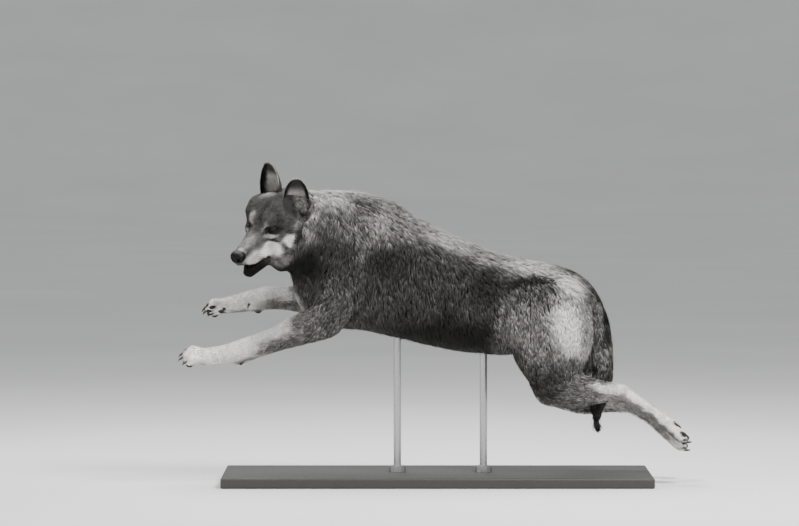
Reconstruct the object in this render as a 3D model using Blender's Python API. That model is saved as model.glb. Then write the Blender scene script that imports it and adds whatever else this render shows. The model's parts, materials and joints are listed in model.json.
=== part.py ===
"""A leaping wolf at life size, held over a plain stand by two rods.

The body is built up from rounded masses and tapered limbs, fused into one form, thinned, and parted by
thin cuts into the pieces that a person would name. Ears, nose, eyes, claws, tail and rods are made on their
own, and let into the form with a small gap.

Metres. +Z is up, the wolf leaps towards -X, and its left side is towards -Y. The origin is the middle of the
stand's underside. The outer surface is that of the coat, out to the tips of the hair.
"""

import math

import bmesh
import bpy
import numpy as np
from mathutils import Matrix, Vector

# --- Sizes of the whole -------------------------------------------------------------------------------

GAP = 0.0004  # between two pieces that touch
LEFT, RIGHT = -1, 1  # the side of a paired piece, as the sign of its Y

BASE_SIZE = Vector((1.24, 0.46, 0.03))
BASE_BEVEL = 0.005
ROD_RADIUS = 0.011
COLLAR_RADIUS, COLLAR_HEIGHT = 0.026, 0.018
ROD_DEPTH_IN_BODY = 0.075
RODS = {"front": (-0.115, 0.405), "rear": (0.135, 0.372)}  # X, and height of the coat there

FORM_VOXEL = 0.0045
FORM_SMOOTHING = 7
FORM_TRIANGLES = 2300
FINE_SHARE = 0.00005  # how much more of the detail the head and the paws keep

# --- Head: origin between the eyes, +X to the nose, +Y to the wolf's left, +Z to the crown ---------------

HEAD_PLACE = Vector((-0.510, -0.072, 0.741))
HEAD_TURN, HEAD_NOD, HEAD_TILT = (math.radians(a) for a in (54, 28, -13))
HEAD_SIZE = 1.05
EYE_RADIUS = 0.0125
EYE_PLACE = Vector((-0.010, 0.0340, 0.002))
EAR_ROOT = {LEFT: Vector((-0.112, 0.047, 0.006)), RIGHT: Vector((-0.116, -0.033, 0.022))}
EAR_TURN = math.radians(32)  # outwards, from facing the nose
EAR_LEAN = {LEFT: math.radians(-4), RIGHT: math.radians(6)}  # sideways
EAR_SWING = {LEFT: math.radians(-4), RIGHT: math.radians(-9)}  # backwards
EAR_BLADE = [  # height, half width and half depth
    (0.000, 0.040, 0.024),
    (0.038, 0.042, 0.020),
    (0.074, 0.031, 0.013),
    (0.097, 0.015, 0.007),
    (0.106, 0.004, 0.004),
]
JAW_HINGE = Vector((-0.065, 0, -0.045))
JAW_OPEN = math.radians(9)
MOUTH_CORNER = Vector((0.030, 0, -0.066))
MOUTH_HALF_WIDTH = 0.05

# --- Joints of the limbs: X, Y, Z ----------------------------------------------------------------------

FORELEG = {
    LEFT: {
        "shoulder": (-0.235, -0.082, 0.645),
        "elbow": (-0.318, -0.104, 0.474),
        "forearm": (-0.404, -0.104, 0.445),
        "above_wrist": (-0.467, -0.102, 0.4195),
        "wrist": (-0.545, -0.100, 0.392),
        "pastern": (-0.612, -0.100, 0.375),
        "knuckles": (-0.664, -0.100, 0.371),
        "toes": (-0.738, -0.100, 0.372),
    },
    RIGHT: {
        "shoulder": (-0.225, 0.082, 0.700),
        "elbow": (-0.278, 0.102, 0.522),
        "forearm": (-0.385, 0.102, 0.528),
        "above_wrist": (-0.440, 0.100, 0.530),
        "wrist": (-0.500, 0.098, 0.531),
        "pastern": (-0.560, 0.098, 0.519),
        "knuckles": (-0.607, 0.098, 0.511),
        "toes": (-0.682, 0.098, 0.496),
    },
}
HIND_LEG = {
    LEFT: {
        "hip": (0.355, -0.068, 0.540),
        "thigh": (0.332, -0.086, 0.450),
        "above_knee": (0.325, -0.094, 0.355),
        "knee": (0.318, -0.098, 0.285),
        "calf": (0.400, -0.093, 0.272),
        "above_hock": (0.470, -0.084, 0.268),
        "hock": (0.532, -0.080, 0.264),
        "shin": (0.603, -0.080, 0.223),
        "knuckles": (0.668, -0.080, 0.172),
        "toes": (0.741, -0.080, 0.103),
    },
    RIGHT: {
        "hip": (0.360, 0.068, 0.535),
        "thigh": (0.358, 0.086, 0.440),
        "above_knee": (0.366, 0.094, 0.335),
        "knee": (0.368, 0.098, 0.262),
        "calf": (0.440, 0.091, 0.242),
        "above_hock": (0.505, 0.080, 0.230),
        "hock": (0.562, 0.074, 0.221),
        "shin": (0.622, 0.074, 0.184),
        "knuckles": (0.676, 0.074, 0.138),
        "toes": (0.741, 0.074, 0.074),
    },
}

SOLE_OF_FORE_PAW = {LEFT: (0, 0.55, -0.84), RIGHT: (0, -0.45, -0.89)}
SOLE_OF_HIND_PAW = {LEFT: (1, 0, 0.35), RIGHT: (1, 0, 0.35)}

ARMPIT = {  # a point of the cut above the elbow, from the elbow, and the cut's normal
    LEFT: ((0.000, 0.015, 0.030), (-0.25, -0.80, -0.55)),
    RIGHT: ((-0.010, -0.010, 0.020), (-0.30, 0.90, -0.30)),
}
ARM_CUT = 0.125
ELBOW_CUT = {LEFT: 0.45, RIGHT: 1.10}  # how far down the forearm the cut below the elbow lies

# --- Paws: origin at the knuckles, +X to the toes, +Y across, +Z to the back of the foot ------------------

TOE_SPREAD = 0.0185
TOE_RADIUS = 0.0135
TOE_REACH = {"inner": 0.074, "outer": 0.062}
CLAW_LENGTH, CLAW_RADIUS = 0.024, 0.0042
DEWCLAW_DROP = math.radians(40)  # below the line of the foot

COLOURS = {
    "coat_dark": ((0.070, 0.065, 0.060), 0.85),
    "coat_grey": ((0.230, 0.215, 0.195), 0.85),
    "coat_pale": ((0.620, 0.590, 0.540), 0.85),
    "nose_leather": ((0.020, 0.018, 0.018), 0.45),
    "eye": ((0.240, 0.130, 0.035), 0.08),
    "claw": ((0.050, 0.042, 0.036), 0.40),
    "steel": ((0.300, 0.300, 0.300), 0.35),
    "base_paint": ((0.180, 0.175, 0.170), 0.55),
}


# --- Tools ---------------------------------------------------------------------------------------------


def clear_scene():
    for thing in list(bpy.data.objects):
        bpy.data.objects.remove(thing)


def material(slot):
    """The shared material of one finish."""
    found = bpy.data.materials.get(slot)
    if found:
        return found
    colour, roughness = COLOURS[slot]
    made = bpy.data.materials.new(slot)
    made.use_nodes = True
    shader = made.node_tree.nodes["Principled BSDF"]
    shader.inputs["Base Color"].default_value = (*colour, 1)
    shader.inputs["Roughness"].default_value = roughness
    shader.inputs["Metallic"].default_value = 1.0 if slot == "steel" else 0.0
    return made


def object_from(form, name, slot=None):
    """Turns a bmesh into an object in the scene, in triangles, faces outwards."""
    bmesh.ops.recalc_face_normals(form, faces=form.faces)
    bmesh.ops.triangulate(form, faces=form.faces)
    mesh = bpy.data.meshes.new(name)
    form.to_mesh(mesh)
    form.free()
    mesh.shade_smooth()
    made = bpy.data.objects.new(name, mesh)
    bpy.context.scene.collection.objects.link(made)
    if slot:
        mesh.materials.append(material(slot))
    return made


def settle(thing):
    """Bakes the modifiers of an object into its mesh."""
    bpy.context.view_layer.update()
    graph = bpy.context.evaluated_depsgraph_get()
    mesh = bpy.data.meshes.new_from_object(thing.evaluated_get(graph))
    thing.modifiers.clear()
    thing.data = mesh
    return thing


def helper(thing):
    """Marks an object as a cutter or a guide, which is no piece of the wolf."""
    thing.hide_render = True
    thing.display_type = "WIRE"
    return thing


def smooth_rows(rows, steps):
    """Rows of numbers read from a smooth curve that passes through the given rows."""
    rows = np.array(rows, float)
    padded = np.vstack([2 * rows[0] - rows[1], rows, 2 * rows[-1] - rows[-2]])
    found = []
    for a, b, c, d in zip(padded, padded[1:], padded[2:], padded[3:]):
        for t in np.arange(steps) / steps:
            square, cube = t * t, t * t * t
            found.append(
                b
                + 0.5 * (c - a) * t
                + (a - 2.5 * b + 2 * c - 0.5 * d) * square
                + (1.5 * b - 0.5 * a - 1.5 * c + 0.5 * d) * cube
            )
    return [*found, rows[-1]]


def axes(centre, x, y, z):
    """The matrix that puts a shape at centre, with its own axes along x, y and z."""
    turned = Matrix((x, y, z)).transposed().to_4x4()
    return Matrix.Translation(centre) @ turned


def ball(form, centre, radii, place=Matrix.Identity(4)):
    """A rounded mass, in the frame of place."""
    matrix = place @ Matrix.Translation(centre) @ Matrix.Diagonal((*radii, 1))
    bmesh.ops.create_uvsphere(form, u_segments=16, v_segments=10, radius=1, matrix=matrix)


def limb(form, stations, place=Matrix.Identity(4), steps=3, sides=14, ahead=None, round_ends=True):
    """A tapered tube with oval sections. A station is X, Y, Z, half its width (Y) and half its depth."""
    rows = smooth_rows(stations, steps)
    rings = []
    for i, row in enumerate(rows):
        behind, before = rows[max(i - 1, 0)], rows[min(i + 1, len(rows) - 1)]
        along = Vector(ahead or before[:3] - behind[:3]).normalized()
        deep = along.cross(Vector((0, 1, 0))).normalized()
        wide = deep.cross(along)
        half_width, half_depth = row[3:5]
        matrix = place @ axes(row[:3], wide * half_width, deep * half_depth, along)
        ring = bmesh.ops.create_circle(form, segments=sides, radius=1, matrix=matrix)["verts"]
        rings.append(list({edge for vertex in ring for edge in vertex.link_edges}))
        if round_ends and i in (0, len(rows) - 1):
            reach = along * min(half_width, half_depth)
            ball(form, (0, 0, 0), (1, 1, 1), place @ axes(row[:3], wide * half_width, deep * half_depth, reach))
    for one, other in zip(rings, rings[1:]):
        bmesh.ops.bridge_loops(form, edges=one + other)
    for ring in (rings[0], rings[-1]):
        bmesh.ops.contextual_create(form, geom=ring)


def swollen(thing, by):
    """A helper copy of an object, grown by a distance all round."""
    mesh = thing.data.copy()
    for vertex in mesh.vertices:
        vertex.co += vertex.normal * by
    grown = bpy.data.objects.new(thing.name + "_room", mesh)
    bpy.context.scene.collection.objects.link(grown)
    return helper(grown)


def carve(thing, cutters):
    """Cuts each cutter out of the object, one after the other."""
    for cutter in cutters:
        cut = thing.modifiers.new(cutter.name, "BOOLEAN")
        cut.operation = "DIFFERENCE"
        cut.object = cutter
        cut.solver = "MANIFOLD"
    return settle(thing)


# --- Frames --------------------------------------------------------------------------------------------


def head_frame():
    """The frame of the head, whose +X points out of the nose."""
    facing = Matrix(((-1, 0, 0), (0, -1, 0), (0, 0, 1))).to_4x4()
    turn = Matrix.Rotation(HEAD_TURN, 4, "Z")
    nod = Matrix.Rotation(HEAD_NOD, 4, "Y")
    tilt = Matrix.Rotation(HEAD_TILT, 4, "X")
    return Matrix.Translation(HEAD_PLACE) @ facing @ turn @ nod @ tilt @ Matrix.Scale(HEAD_SIZE, 4)


def jaw_frame():
    """The frame of the head, turned down about the hinge of the jaw."""
    down = Matrix.Rotation(JAW_OPEN, 4, "Y")
    return head_frame() @ Matrix.Translation(JAW_HINGE) @ down @ Matrix.Translation(-JAW_HINGE)


def paw_frame(leg, sole_down):
    """The frame of a paw: +X runs from the knuckles to the toes, and the sole faces sole_down."""
    knuckles, toes = Vector(leg["knuckles"]), Vector(leg["toes"])
    along = (toes - knuckles).normalized()
    up = -Vector(sole_down)
    up = (up - along * up.dot(along)).normalized()
    return axes(knuckles, along, up.cross(along), up)


def toe_places():
    """Where each of the four toes of a paw lies: its sideways place and its reach."""
    for step in (-1.5, -0.5, 0.5, 1.5):
        reach = TOE_REACH["inner" if abs(step) < 1 else "outer"]
        yield step * TOE_SPREAD, reach


# --- Masses of the body --------------------------------------------------------------------------------


def add_trunk(form):
    """Ribs, belly, loin and rump, as upright sections: X, top, bottom and half width of the coat."""
    sections = [
        (-0.345, 0.700, 0.470, 0.080),
        (-0.290, 0.790, 0.442, 0.112),
        (-0.210, 0.838, 0.436, 0.132),
        (-0.110, 0.796, 0.414, 0.140),
        (0.000, 0.745, 0.388, 0.140),
        (0.100, 0.697, 0.371, 0.130),
        (0.200, 0.664, 0.365, 0.114),
        (0.280, 0.646, 0.382, 0.112),
        (0.345, 0.638, 0.425, 0.102),
        (0.400, 0.600, 0.455, 0.072),
    ]
    stations = [(x, 0, (top + bottom) / 2, wide, (top - bottom) / 2) for x, top, bottom, wide in sections]
    limb(form, stations, sides=24, ahead=(1, 0, 0))
    ball(form, (-0.312, 0, 0.530), (0.081, 0.086, 0.088))  # breast
    ball(form, (0.375, 0, 0.540), (0.072, 0.088, 0.078))  # buttocks


def add_neck(form):
    """The neck with its mane, from the shoulders to the skull."""
    limb(
        form,
        [
            (-0.180, 0.000, 0.655, 0.118, 0.176),
            (-0.270, 0.000, 0.690, 0.116, 0.170),
            (-0.345, 0.002, 0.722, 0.110, 0.146),
            (-0.405, 0.002, 0.752, 0.098, 0.112),
        ],
        sides=20,
    )
    ball(form, (-0.436, -0.025, 0.674), (0.060, 0.076, 0.068))  # throat


def add_skull(form, head):
    """Cranium, brows, cheekbones, cheeks and the ruff behind them."""
    ball(form, (-0.075, 0, -0.004), (0.086, 0.058, 0.060), head)
    ball(form, (-0.125, 0, -0.012), (0.060, 0.068, 0.066), head)
    ball(form, (-0.050, 0, -0.088), (0.076, 0.046, 0.050), head)
    for side in (LEFT, RIGHT):
        ball(form, (-0.018, side * 0.024, 0.018), (0.030, 0.021, 0.019), head)
        ball(form, (-0.066, side * 0.042, 0.010), (0.050, 0.042, 0.040), head)
        ball(form, (-0.038, side * 0.040, -0.022), (0.048, 0.028, 0.028), head)
        ball(form, (-0.075, side * 0.050, -0.042), (0.054, 0.044, 0.050), head)
        ball(form, (-0.112, side * 0.066, -0.045), (0.052, 0.048, 0.064), head)


def add_muzzle(form, head):
    """The upper jaw, from under the eyes to the tip of the snout."""
    limb(
        form,
        [
            (-0.020, 0, -0.020, 0.046, 0.040),
            (0.025, 0, -0.027, 0.035, 0.034),
            (0.065, 0, -0.032, 0.029, 0.028),
            (0.098, 0, -0.035, 0.026, 0.025),
            (0.112, 0, -0.036, 0.022, 0.021),
        ],
        head,
    )


def add_jaw(form, jaw):
    """The lower jaw, dropped a little."""
    limb(
        form,
        [
            (-0.060, 0, -0.072, 0.044, 0.032),
            (0.000, 0, -0.080, 0.034, 0.023),
            (0.050, 0, -0.080, 0.025, 0.0175),
            (0.086, 0, -0.078, 0.020, 0.0140),
        ],
        jaw,
    )


def add_paw(form, frame):
    """Palm, heel pad, four toes and their pads."""
    ball(form, (0.020, 0, 0.000), (0.036, 0.031, 0.021), frame)
    ball(form, (0.022, 0, -0.013), (0.019, 0.022, 0.011), frame)
    for across, reach in toe_places():
        limb(
            form,
            [
                (0.018, across * 0.75, 0.004, TOE_RADIUS * 0.95, TOE_RADIUS),
                (reach * 0.68, across, 0.006, TOE_RADIUS, TOE_RADIUS * 1.1),
                (reach - 0.011, across * 1.08, -0.003, TOE_RADIUS * 0.86, TOE_RADIUS * 0.9),
            ],
            frame,
            sides=10,
        )
        ball(form, (reach - 0.016, across * 1.06, -0.012), (0.013, 0.0095, 0.0075), frame)


def add_foreleg(form, leg, sole):
    """Shoulder blade, upper arm, forearm, pastern and paw."""
    shoulder, elbow = Vector(leg["shoulder"]), Vector(leg["elbow"])
    blade = shoulder + Vector((0.035, 0, 0.045))
    limb(form, [(*blade, 0.046, 0.085), (*shoulder, 0.054, 0.086), (*elbow, 0.043, 0.056)])
    limb(
        form,
        [
            (*leg["elbow"], 0.042, 0.056),
            (*leg["forearm"], 0.037, 0.047),
            (*leg["above_wrist"], 0.033, 0.037),
            (*leg["wrist"], 0.032, 0.036),
            (*leg["pastern"], 0.030, 0.031),
            (*leg["knuckles"], 0.030, 0.027),
        ],
    )
    ball(form, Vector(leg["wrist"]) + Vector((-0.022, 0, -0.040)), (0.013, 0.011, 0.011))  # wrist pad
    add_paw(form, paw_frame(leg, sole))


def add_hind_leg(form, leg, sole):
    """Thigh, shank, the long hind foot with its heel, and the paw."""
    limb(
        form,
        [
            (*leg["hip"], 0.056, 0.098),
            (*leg["thigh"], 0.058, 0.130),
            (*leg["above_knee"], 0.050, 0.112),
            (*leg["knee"], 0.042, 0.056),
        ],
    )
    limb(
        form,
        [
            (*leg["knee"], 0.042, 0.060),
            (*leg["calf"], 0.036, 0.057),
            (*leg["above_hock"], 0.026, 0.037),
            (*leg["hock"], 0.022, 0.028),
        ],
    )
    limb(
        form,
        [
            (*leg["hock"], 0.022, 0.026),
            (*leg["shin"], 0.020, 0.022),
            (*leg["knuckles"], 0.026, 0.024),
        ],
    )
    ball(form, Vector(leg["hock"]) + Vector((0.006, 0, 0.014)), (0.018, 0.015, 0.016))  # heel
    add_paw(form, paw_frame(leg, sole))


# --- Pieces let into the form ---------------------------------------------------------------------------


def ear_frame(head, side):
    """The frame of an ear: origin at its root, +Z to the tip, +X the way its opening faces."""
    lean = Matrix.Rotation(EAR_LEAN[side], 4, "X") @ Matrix.Rotation(EAR_SWING[side], 4, "Y")
    return head @ Matrix.Translation(EAR_ROOT[side]) @ lean @ Matrix.Rotation(-side * EAR_TURN, 4, "Z")


def make_ear(name, place):
    """A pricked ear, as a rounded blade."""
    form = bmesh.new()
    stations = [(0, 0, z, wide, deep) for z, wide, deep in EAR_BLADE]
    limb(form, stations, place, sides=12, steps=2, round_ends=False)
    return object_from(form, name, "coat_grey")


def make_ear_hollow(name, place):
    """The cutter for the hollow in the front of an ear."""
    form = bmesh.new()
    stations = [(0.014, 0, z + 0.004, wide * 0.74, deep * 0.78) for z, wide, deep in EAR_BLADE[1:4]]
    limb(form, stations, place, sides=12, steps=2, round_ends=False)
    return helper(object_from(form, name))


def make_nose(head):
    """The leather of the nose: rounded on top, cut in below."""
    form = bmesh.new()
    limb(
        form,
        [
            (0.104, 0, -0.026, 0.0150, 0.0130),
            (0.116, 0, -0.026, 0.0175, 0.0150),
            (0.126, 0, -0.027, 0.0165, 0.0140),
            (0.133, 0, -0.029, 0.0105, 0.0085),
        ],
        head,
        steps=2,
        sides=12,
        round_ends=False,
    )
    return object_from(form, "nose", "nose_leather")


def make_eye(name, head, side):
    form = bmesh.new()
    centre = Vector((EYE_PLACE.x, -side * EYE_PLACE.y, EYE_PLACE.z))
    bmesh.ops.create_uvsphere(
        form, u_segments=12, v_segments=8, radius=EYE_RADIUS, matrix=head @ Matrix.Translation(centre)
    )
    return object_from(form, name, "eye")


def make_tail():
    """The bushy tail, hanging close behind the rump."""
    form = bmesh.new()
    limb(
        form,
        [
            (0.345, 0, 0.606, 0.028, 0.028),
            (0.390, 0, 0.588, 0.034, 0.033),
            (0.436, 0, 0.537, 0.036, 0.037),
            (0.466, 0, 0.470, 0.037, 0.038),
            (0.477, 0, 0.400, 0.037, 0.038),
            (0.482, 0, 0.330, 0.036, 0.038),
            (0.475, 0, 0.262, 0.033, 0.035),
            (0.460, 0, 0.205, 0.025, 0.026),
            (0.466, 0, 0.160, 0.007, 0.008),
        ],
        steps=2,
        sides=12,
        round_ends=False,
    )
    return object_from(form, "tail", "coat_grey")


def make_claw(name, frame):
    """A claw along the +X of its frame, curved down to its point."""
    form = bmesh.new()
    limb(
        form,
        [
            (-0.4 * CLAW_LENGTH, 0, 0.000, CLAW_RADIUS * 0.8, CLAW_RADIUS),
            (0.1 * CLAW_LENGTH, 0, 0.001, CLAW_RADIUS * 0.75, CLAW_RADIUS),
            (0.6 * CLAW_LENGTH, 0, -0.003, CLAW_RADIUS * 0.2, CLAW_RADIUS * 0.25),
        ],
        frame,
        steps=1,
        sides=6,
        round_ends=False,
    )
    return object_from(form, name, "claw")


def make_dewclaw(name, leg, side):
    """The small fifth claw, high on the inner side of a forefoot."""
    inner = Vector((0, -side, 0))
    along = (Vector(leg["knuckles"]) - Vector(leg["wrist"])).normalized()
    down = Matrix.Rotation(side * -DEWCLAW_DROP, 3, "Y") @ along
    root = midway(leg, "wrist", "pastern", 0.85) + inner * 0.027 + Vector((0, 0, -0.012))
    return make_claw(name, axes(root, down, inner.cross(down), inner))


def make_claws(name, paw):
    """The claws of the four toes of a paw."""
    for number, (across, reach) in enumerate(toe_places(), 1):
        root = Matrix.Translation((reach, across * 1.08, -0.001))
        yield make_claw(f"claw_{name}_{number}", paw @ root @ Matrix.Rotation(math.radians(12), 4, "Y"))


# --- The stand -----------------------------------------------------------------------------------------


def make_stand():
    """A flat base, with two rods that stand in collars. Returns the rods."""
    form = bmesh.new()
    middle = Matrix.Translation((0, 0, BASE_SIZE.z / 2))
    bmesh.ops.create_cube(form, size=1, matrix=middle @ Matrix.Diagonal((*BASE_SIZE, 1)))
    bmesh.ops.bevel(
        form,
        geom=form.edges[:],
        offset=BASE_BEVEL,
        segments=2,
        profile=0.5,
        affect="EDGES",
        material=-1,
    )
    base = object_from(form, "stand_base", "base_paint")
    base.data.set_sharp_from_angle(angle=math.radians(40))
    rods = []
    for name, (x, coat_height) in RODS.items():
        foot = BASE_SIZE.z + GAP
        length = coat_height + ROD_DEPTH_IN_BODY - foot
        rods.append(make_cylinder(f"stand_rod_{name}", x, foot, ROD_RADIUS, length, "steel"))
        collar = make_cylinder(f"stand_collar_{name}", x, foot, COLLAR_RADIUS, COLLAR_HEIGHT, "steel")
        carve(collar, [swollen(rods[-1], GAP)])
    return rods


def make_cylinder(name, x, foot, radius, height, slot):
    form = bmesh.new()
    bmesh.ops.create_cone(
        form,
        cap_ends=True,
        segments=16,
        radius1=radius,
        radius2=radius,
        depth=height,
        matrix=Matrix.Translation((x, 0, foot + height / 2)),
    )
    made = object_from(form, name, slot)
    made.data.set_sharp_from_angle(angle=math.radians(40))
    return made


# --- Fusing and parting ----------------------------------------------------------------------------------


def fused(form):
    """One smooth closed form out of overlapping masses, thinned to a set number of triangles."""
    body = object_from(form, "body")
    remesh = body.modifiers.new("fuse", "REMESH")
    remesh.mode = "VOXEL"
    remesh.voxel_size = FORM_VOXEL
    soften = body.modifiers.new("soften", "SMOOTH")
    soften.iterations = FORM_SMOOTHING
    settle(body)
    fine = body.vertex_groups.new(name="coarse")
    for vertex in body.data.vertices:
        fine.add([vertex.index], coarseness(vertex.co), "REPLACE")
    thin = body.modifiers.new("thin", "DECIMATE")
    thin.ratio = FORM_TRIANGLES / len(body.data.polygons) / 2
    thin.vertex_group = "coarse"
    thin.vertex_group_factor = FINE_SHARE
    settle(body)
    body.vertex_groups.clear()
    return body


def coarseness(point):
    """1 where the form may be thinned freely, less towards the face and the paws."""
    face = head_frame() @ Vector((0.05, 0, -0.03))
    paws = [Vector(leg["knuckles"]) for leg in (*FORELEG.values(), *HIND_LEG.values())]
    nearest = min([(point - face).length / 0.11, *((point - paw).length / 0.09 for paw in paws)])
    return min(max(nearest - 0.4, 0.3), 1.0)


def plate(name, centre, normal, along, half_length, half_width):
    """A thin cutter: a plate across the form, square to normal, with its length along along."""
    normal = Vector(normal).normalized()
    along = Vector(along)
    along = (along - normal * along.dot(normal)).normalized()
    frame = axes(centre, along * half_length * 2, normal.cross(along) * half_width * 2, normal * GAP)
    form = bmesh.new()
    bmesh.ops.create_cube(form, size=1, matrix=frame)
    return helper(object_from(form, "cut_" + name))


def midway(leg, one, other, share=0.5):
    return Vector(leg[one]).lerp(Vector(leg[other]), share)


def limb_cut(name, leg, one, other, share, reach):
    """A plate square across a limb, part of the way from one of its joints to the other."""
    along = Vector(leg[other]) - Vector(leg[one])
    return plate(name, midway(leg, one, other, share), along, (0, 1, 0), reach, reach)


def make_cuts(head, jaw):
    """Every thin cut that parts the fused form."""
    upright, lengthwise = (0, 0, 1), (1, 0, 0)
    cuts = [
        plate("neck", (-0.309, 0, 0.714), (-0.776, 0, 0.632), upright, 0.1845, 0.130),
        plate("skull", head @ Vector((-0.125, 0, -0.020)), (-0.951, -0.287, 0.117), upright, 0.205, 0.140),
        plate("ribs", (0.085, 0, 0.535), (1, 0, 0.12), upright, 0.200, 0.190),
        plate("jaw", jaw @ Vector((0.032, 0, -0.088)), jaw.to_3x3() @ Vector((1, 0, 0)), upright, 0.034, 0.050),
    ]
    for side, word in ((LEFT, "left"), (RIGHT, "right")):
        fore, hind = FORELEG[side], HIND_LEG[side]
        armpit = Vector(fore["elbow"]) + Vector(ARMPIT[side][0])
        groin = Vector(hind["thigh"]) - Vector((0.020, side * 0.010, 0))
        knee = midway(hind, "knee", "calf", 0.55) + Vector((0, 0, 0.020))
        cuts += [
            plate(f"arm_{word}", armpit, ARMPIT[side][1], lengthwise, ARM_CUT, ARM_CUT),
            limb_cut(f"elbow_{word}", fore, "elbow", "forearm", ELBOW_CUT[side], 0.062),
            limb_cut(f"wrist_{word}", fore, "above_wrist", "wrist", 0.75, 0.060),
            limb_cut(f"forepaw_{word}", fore, "pastern", "knuckles", 0.60, 0.055),
            plate(f"thigh_{word}", groin, (0.20, side * 0.70, -0.70), lengthwise, 0.200, 0.110),
            plate(f"knee_{word}", knee, (-0.32, 0, 0.95), lengthwise, 0.150, 0.060),
            limb_cut(f"hock_{word}", hind, "above_hock", "hock", 0.55, 0.050),
            limb_cut(f"hindpaw_{word}", hind, "shin", "knuckles", 0.85, 0.048),
        ]
    return cuts


def make_mouth(jaw):
    """The cutter for the opening between the lips: a wedge that widens from the corner to the front."""
    form = bmesh.new()
    floor = MOUTH_CORNER.z + 0.001
    back, front = MOUTH_CORNER.x - 0.016, MOUTH_CORNER.x + 0.144
    faces = []
    for lift_back, lift_front in ((0, 0), (0.004, 0.017)):
        points = [
            (back, -MOUTH_HALF_WIDTH, floor + lift_back),
            (back, MOUTH_HALF_WIDTH, floor + lift_back),
            (front, MOUTH_HALF_WIDTH, floor + lift_front),
            (front, -MOUTH_HALF_WIDTH, floor + lift_front),
        ]
        faces.append(form.faces.new([form.verts.new(jaw @ Vector(point)) for point in points]))
    bmesh.ops.bridge_loops(form, edges=[edge for face in faces for edge in face.edges])
    return helper(object_from(form, "cut_mouth"))


def loose_pieces(body):
    """The separate closed pieces of a mesh, each as its own bmesh."""
    whole = bmesh.new()
    whole.from_mesh(body.data)
    bmesh.ops.triangulate(whole, faces=whole.faces)
    unseen = set(whole.verts)
    while unseen:
        stack = [unseen.pop()]
        island = set(stack)
        while stack:
            for edge in stack.pop().link_edges:
                for vertex in edge.verts:
                    if vertex in unseen:
                        unseen.discard(vertex)
                        island.add(vertex)
                        stack.append(vertex)
        part = whole.copy()
        part.verts.ensure_lookup_table()
        keep = {vertex.index for vertex in island}
        bmesh.ops.delete(part, geom=[v for v in part.verts if v.index not in keep], context="VERTS")
        yield part
    whole.free()


def node_seeds(head, jaw):
    """A point in the middle of each piece that the cuts leave, with its finish."""
    seeds = {
        "head": (head @ Vector((-0.04, 0, -0.02)), "coat_grey"),
        "lower_jaw": (jaw @ Vector((0.055, 0, -0.08)), "coat_dark"),
        "neck": (Vector((-0.345, 0, 0.72)), "coat_grey"),
        "trunk_ribs": (Vector((-0.10, 0, 0.58)), "coat_grey"),
        "trunk_loin": (Vector((0.25, 0, 0.54)), "coat_grey"),
    }
    for side, word in ((LEFT, "left"), (RIGHT, "right")):
        fore, hind = FORELEG[side], HIND_LEG[side]
        seeds |= {
            f"foreleg_{word}_elbow": (Vector(fore["elbow"]), "coat_grey"),
            f"foreleg_{word}_forearm": (midway(fore, "forearm", "above_wrist"), "coat_pale"),
            f"foreleg_{word}_pastern": (midway(fore, "wrist", "pastern"), "coat_pale"),
            f"foreleg_{word}_paw": (midway(fore, "knuckles", "toes"), "coat_pale"),
            f"hindleg_{word}_thigh": (Vector(hind["above_knee"]), "coat_pale"),
            f"hindleg_{word}_shank": (Vector(hind["calf"]), "coat_grey"),
            f"hindleg_{word}_hock": (Vector(hind["shin"]), "coat_pale"),
            f"hindleg_{word}_paw": (midway(hind, "knuckles", "toes"), "coat_pale"),
        }
    return seeds


def name_pieces(body, seeds):
    """Makes a node of each loose piece, named after the seed nearest its middle."""
    for piece in loose_pieces(body):
        corners = [vertex.co for vertex in piece.verts]
        middle = sum(corners, Vector()) / len(corners)
        name = min(seeds, key=lambda seed: (seeds[seed][0] - middle).length)
        object_from(piece, name, seeds[name][1])
    bpy.data.objects.remove(body)


def main():
    clear_scene()
    head, jaw = head_frame(), jaw_frame()
    form = bmesh.new()
    add_trunk(form)
    add_neck(form)
    add_skull(form, head)
    add_muzzle(form, head)
    add_jaw(form, jaw)
    for side in (LEFT, RIGHT):
        add_foreleg(form, FORELEG[side], SOLE_OF_FORE_PAW[side])
        add_hind_leg(form, HIND_LEG[side], SOLE_OF_HIND_PAW[side])
    body = fused(form)

    inserts = [make_nose(head), make_tail(), *make_stand()]
    ears = []
    for side, word in ((LEFT, "left"), (RIGHT, "right")):
        ears.append((make_ear(f"ear_{word}", ear_frame(head, side)), side))
        inserts.append(make_eye(f"eye_{word}", head, side))
        inserts += make_claws(f"fore_{word}", paw_frame(FORELEG[side], SOLE_OF_FORE_PAW[side]))
        inserts.append(make_dewclaw(f"claw_fore_{word}_dew", FORELEG[side], side))
        inserts += make_claws(f"hind_{word}", paw_frame(HIND_LEG[side], SOLE_OF_HIND_PAW[side]))
    rooms = [swollen(piece, GAP) for piece in (*inserts, *(ear for ear, _ in ears))]
    for ear, side in ears:
        carve(ear, [make_ear_hollow(f"hollow_{ear.name}", ear_frame(head, side))])
    carve(body, [*rooms, *make_cuts(head, jaw), make_mouth(jaw)])
    name_pieces(body, node_seeds(head, jaw))


main()
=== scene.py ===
"""A leaping wolf, dressed in skin and coat, over its display stand.

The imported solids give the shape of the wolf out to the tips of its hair. One skin is grown inside them, and
a coat of many small tufts stands on the skin and fills the space up to the solids. Eyes, nose, pads, claws
and whiskers are pieces of their own. Metres. +Z is up, the wolf leaps towards -X, its left side is at -Y.
"""

import json
import logging
import math
from dataclasses import dataclass, field, fields
from enum import Enum

import bmesh
import bpy
import numpy as np
from bmesh.types import BMesh
from bpy.types import Material, Mesh, Node, NodeSocket, Object
from mathutils import Matrix, Vector
from mathutils.bvhtree import BVHTree

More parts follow.
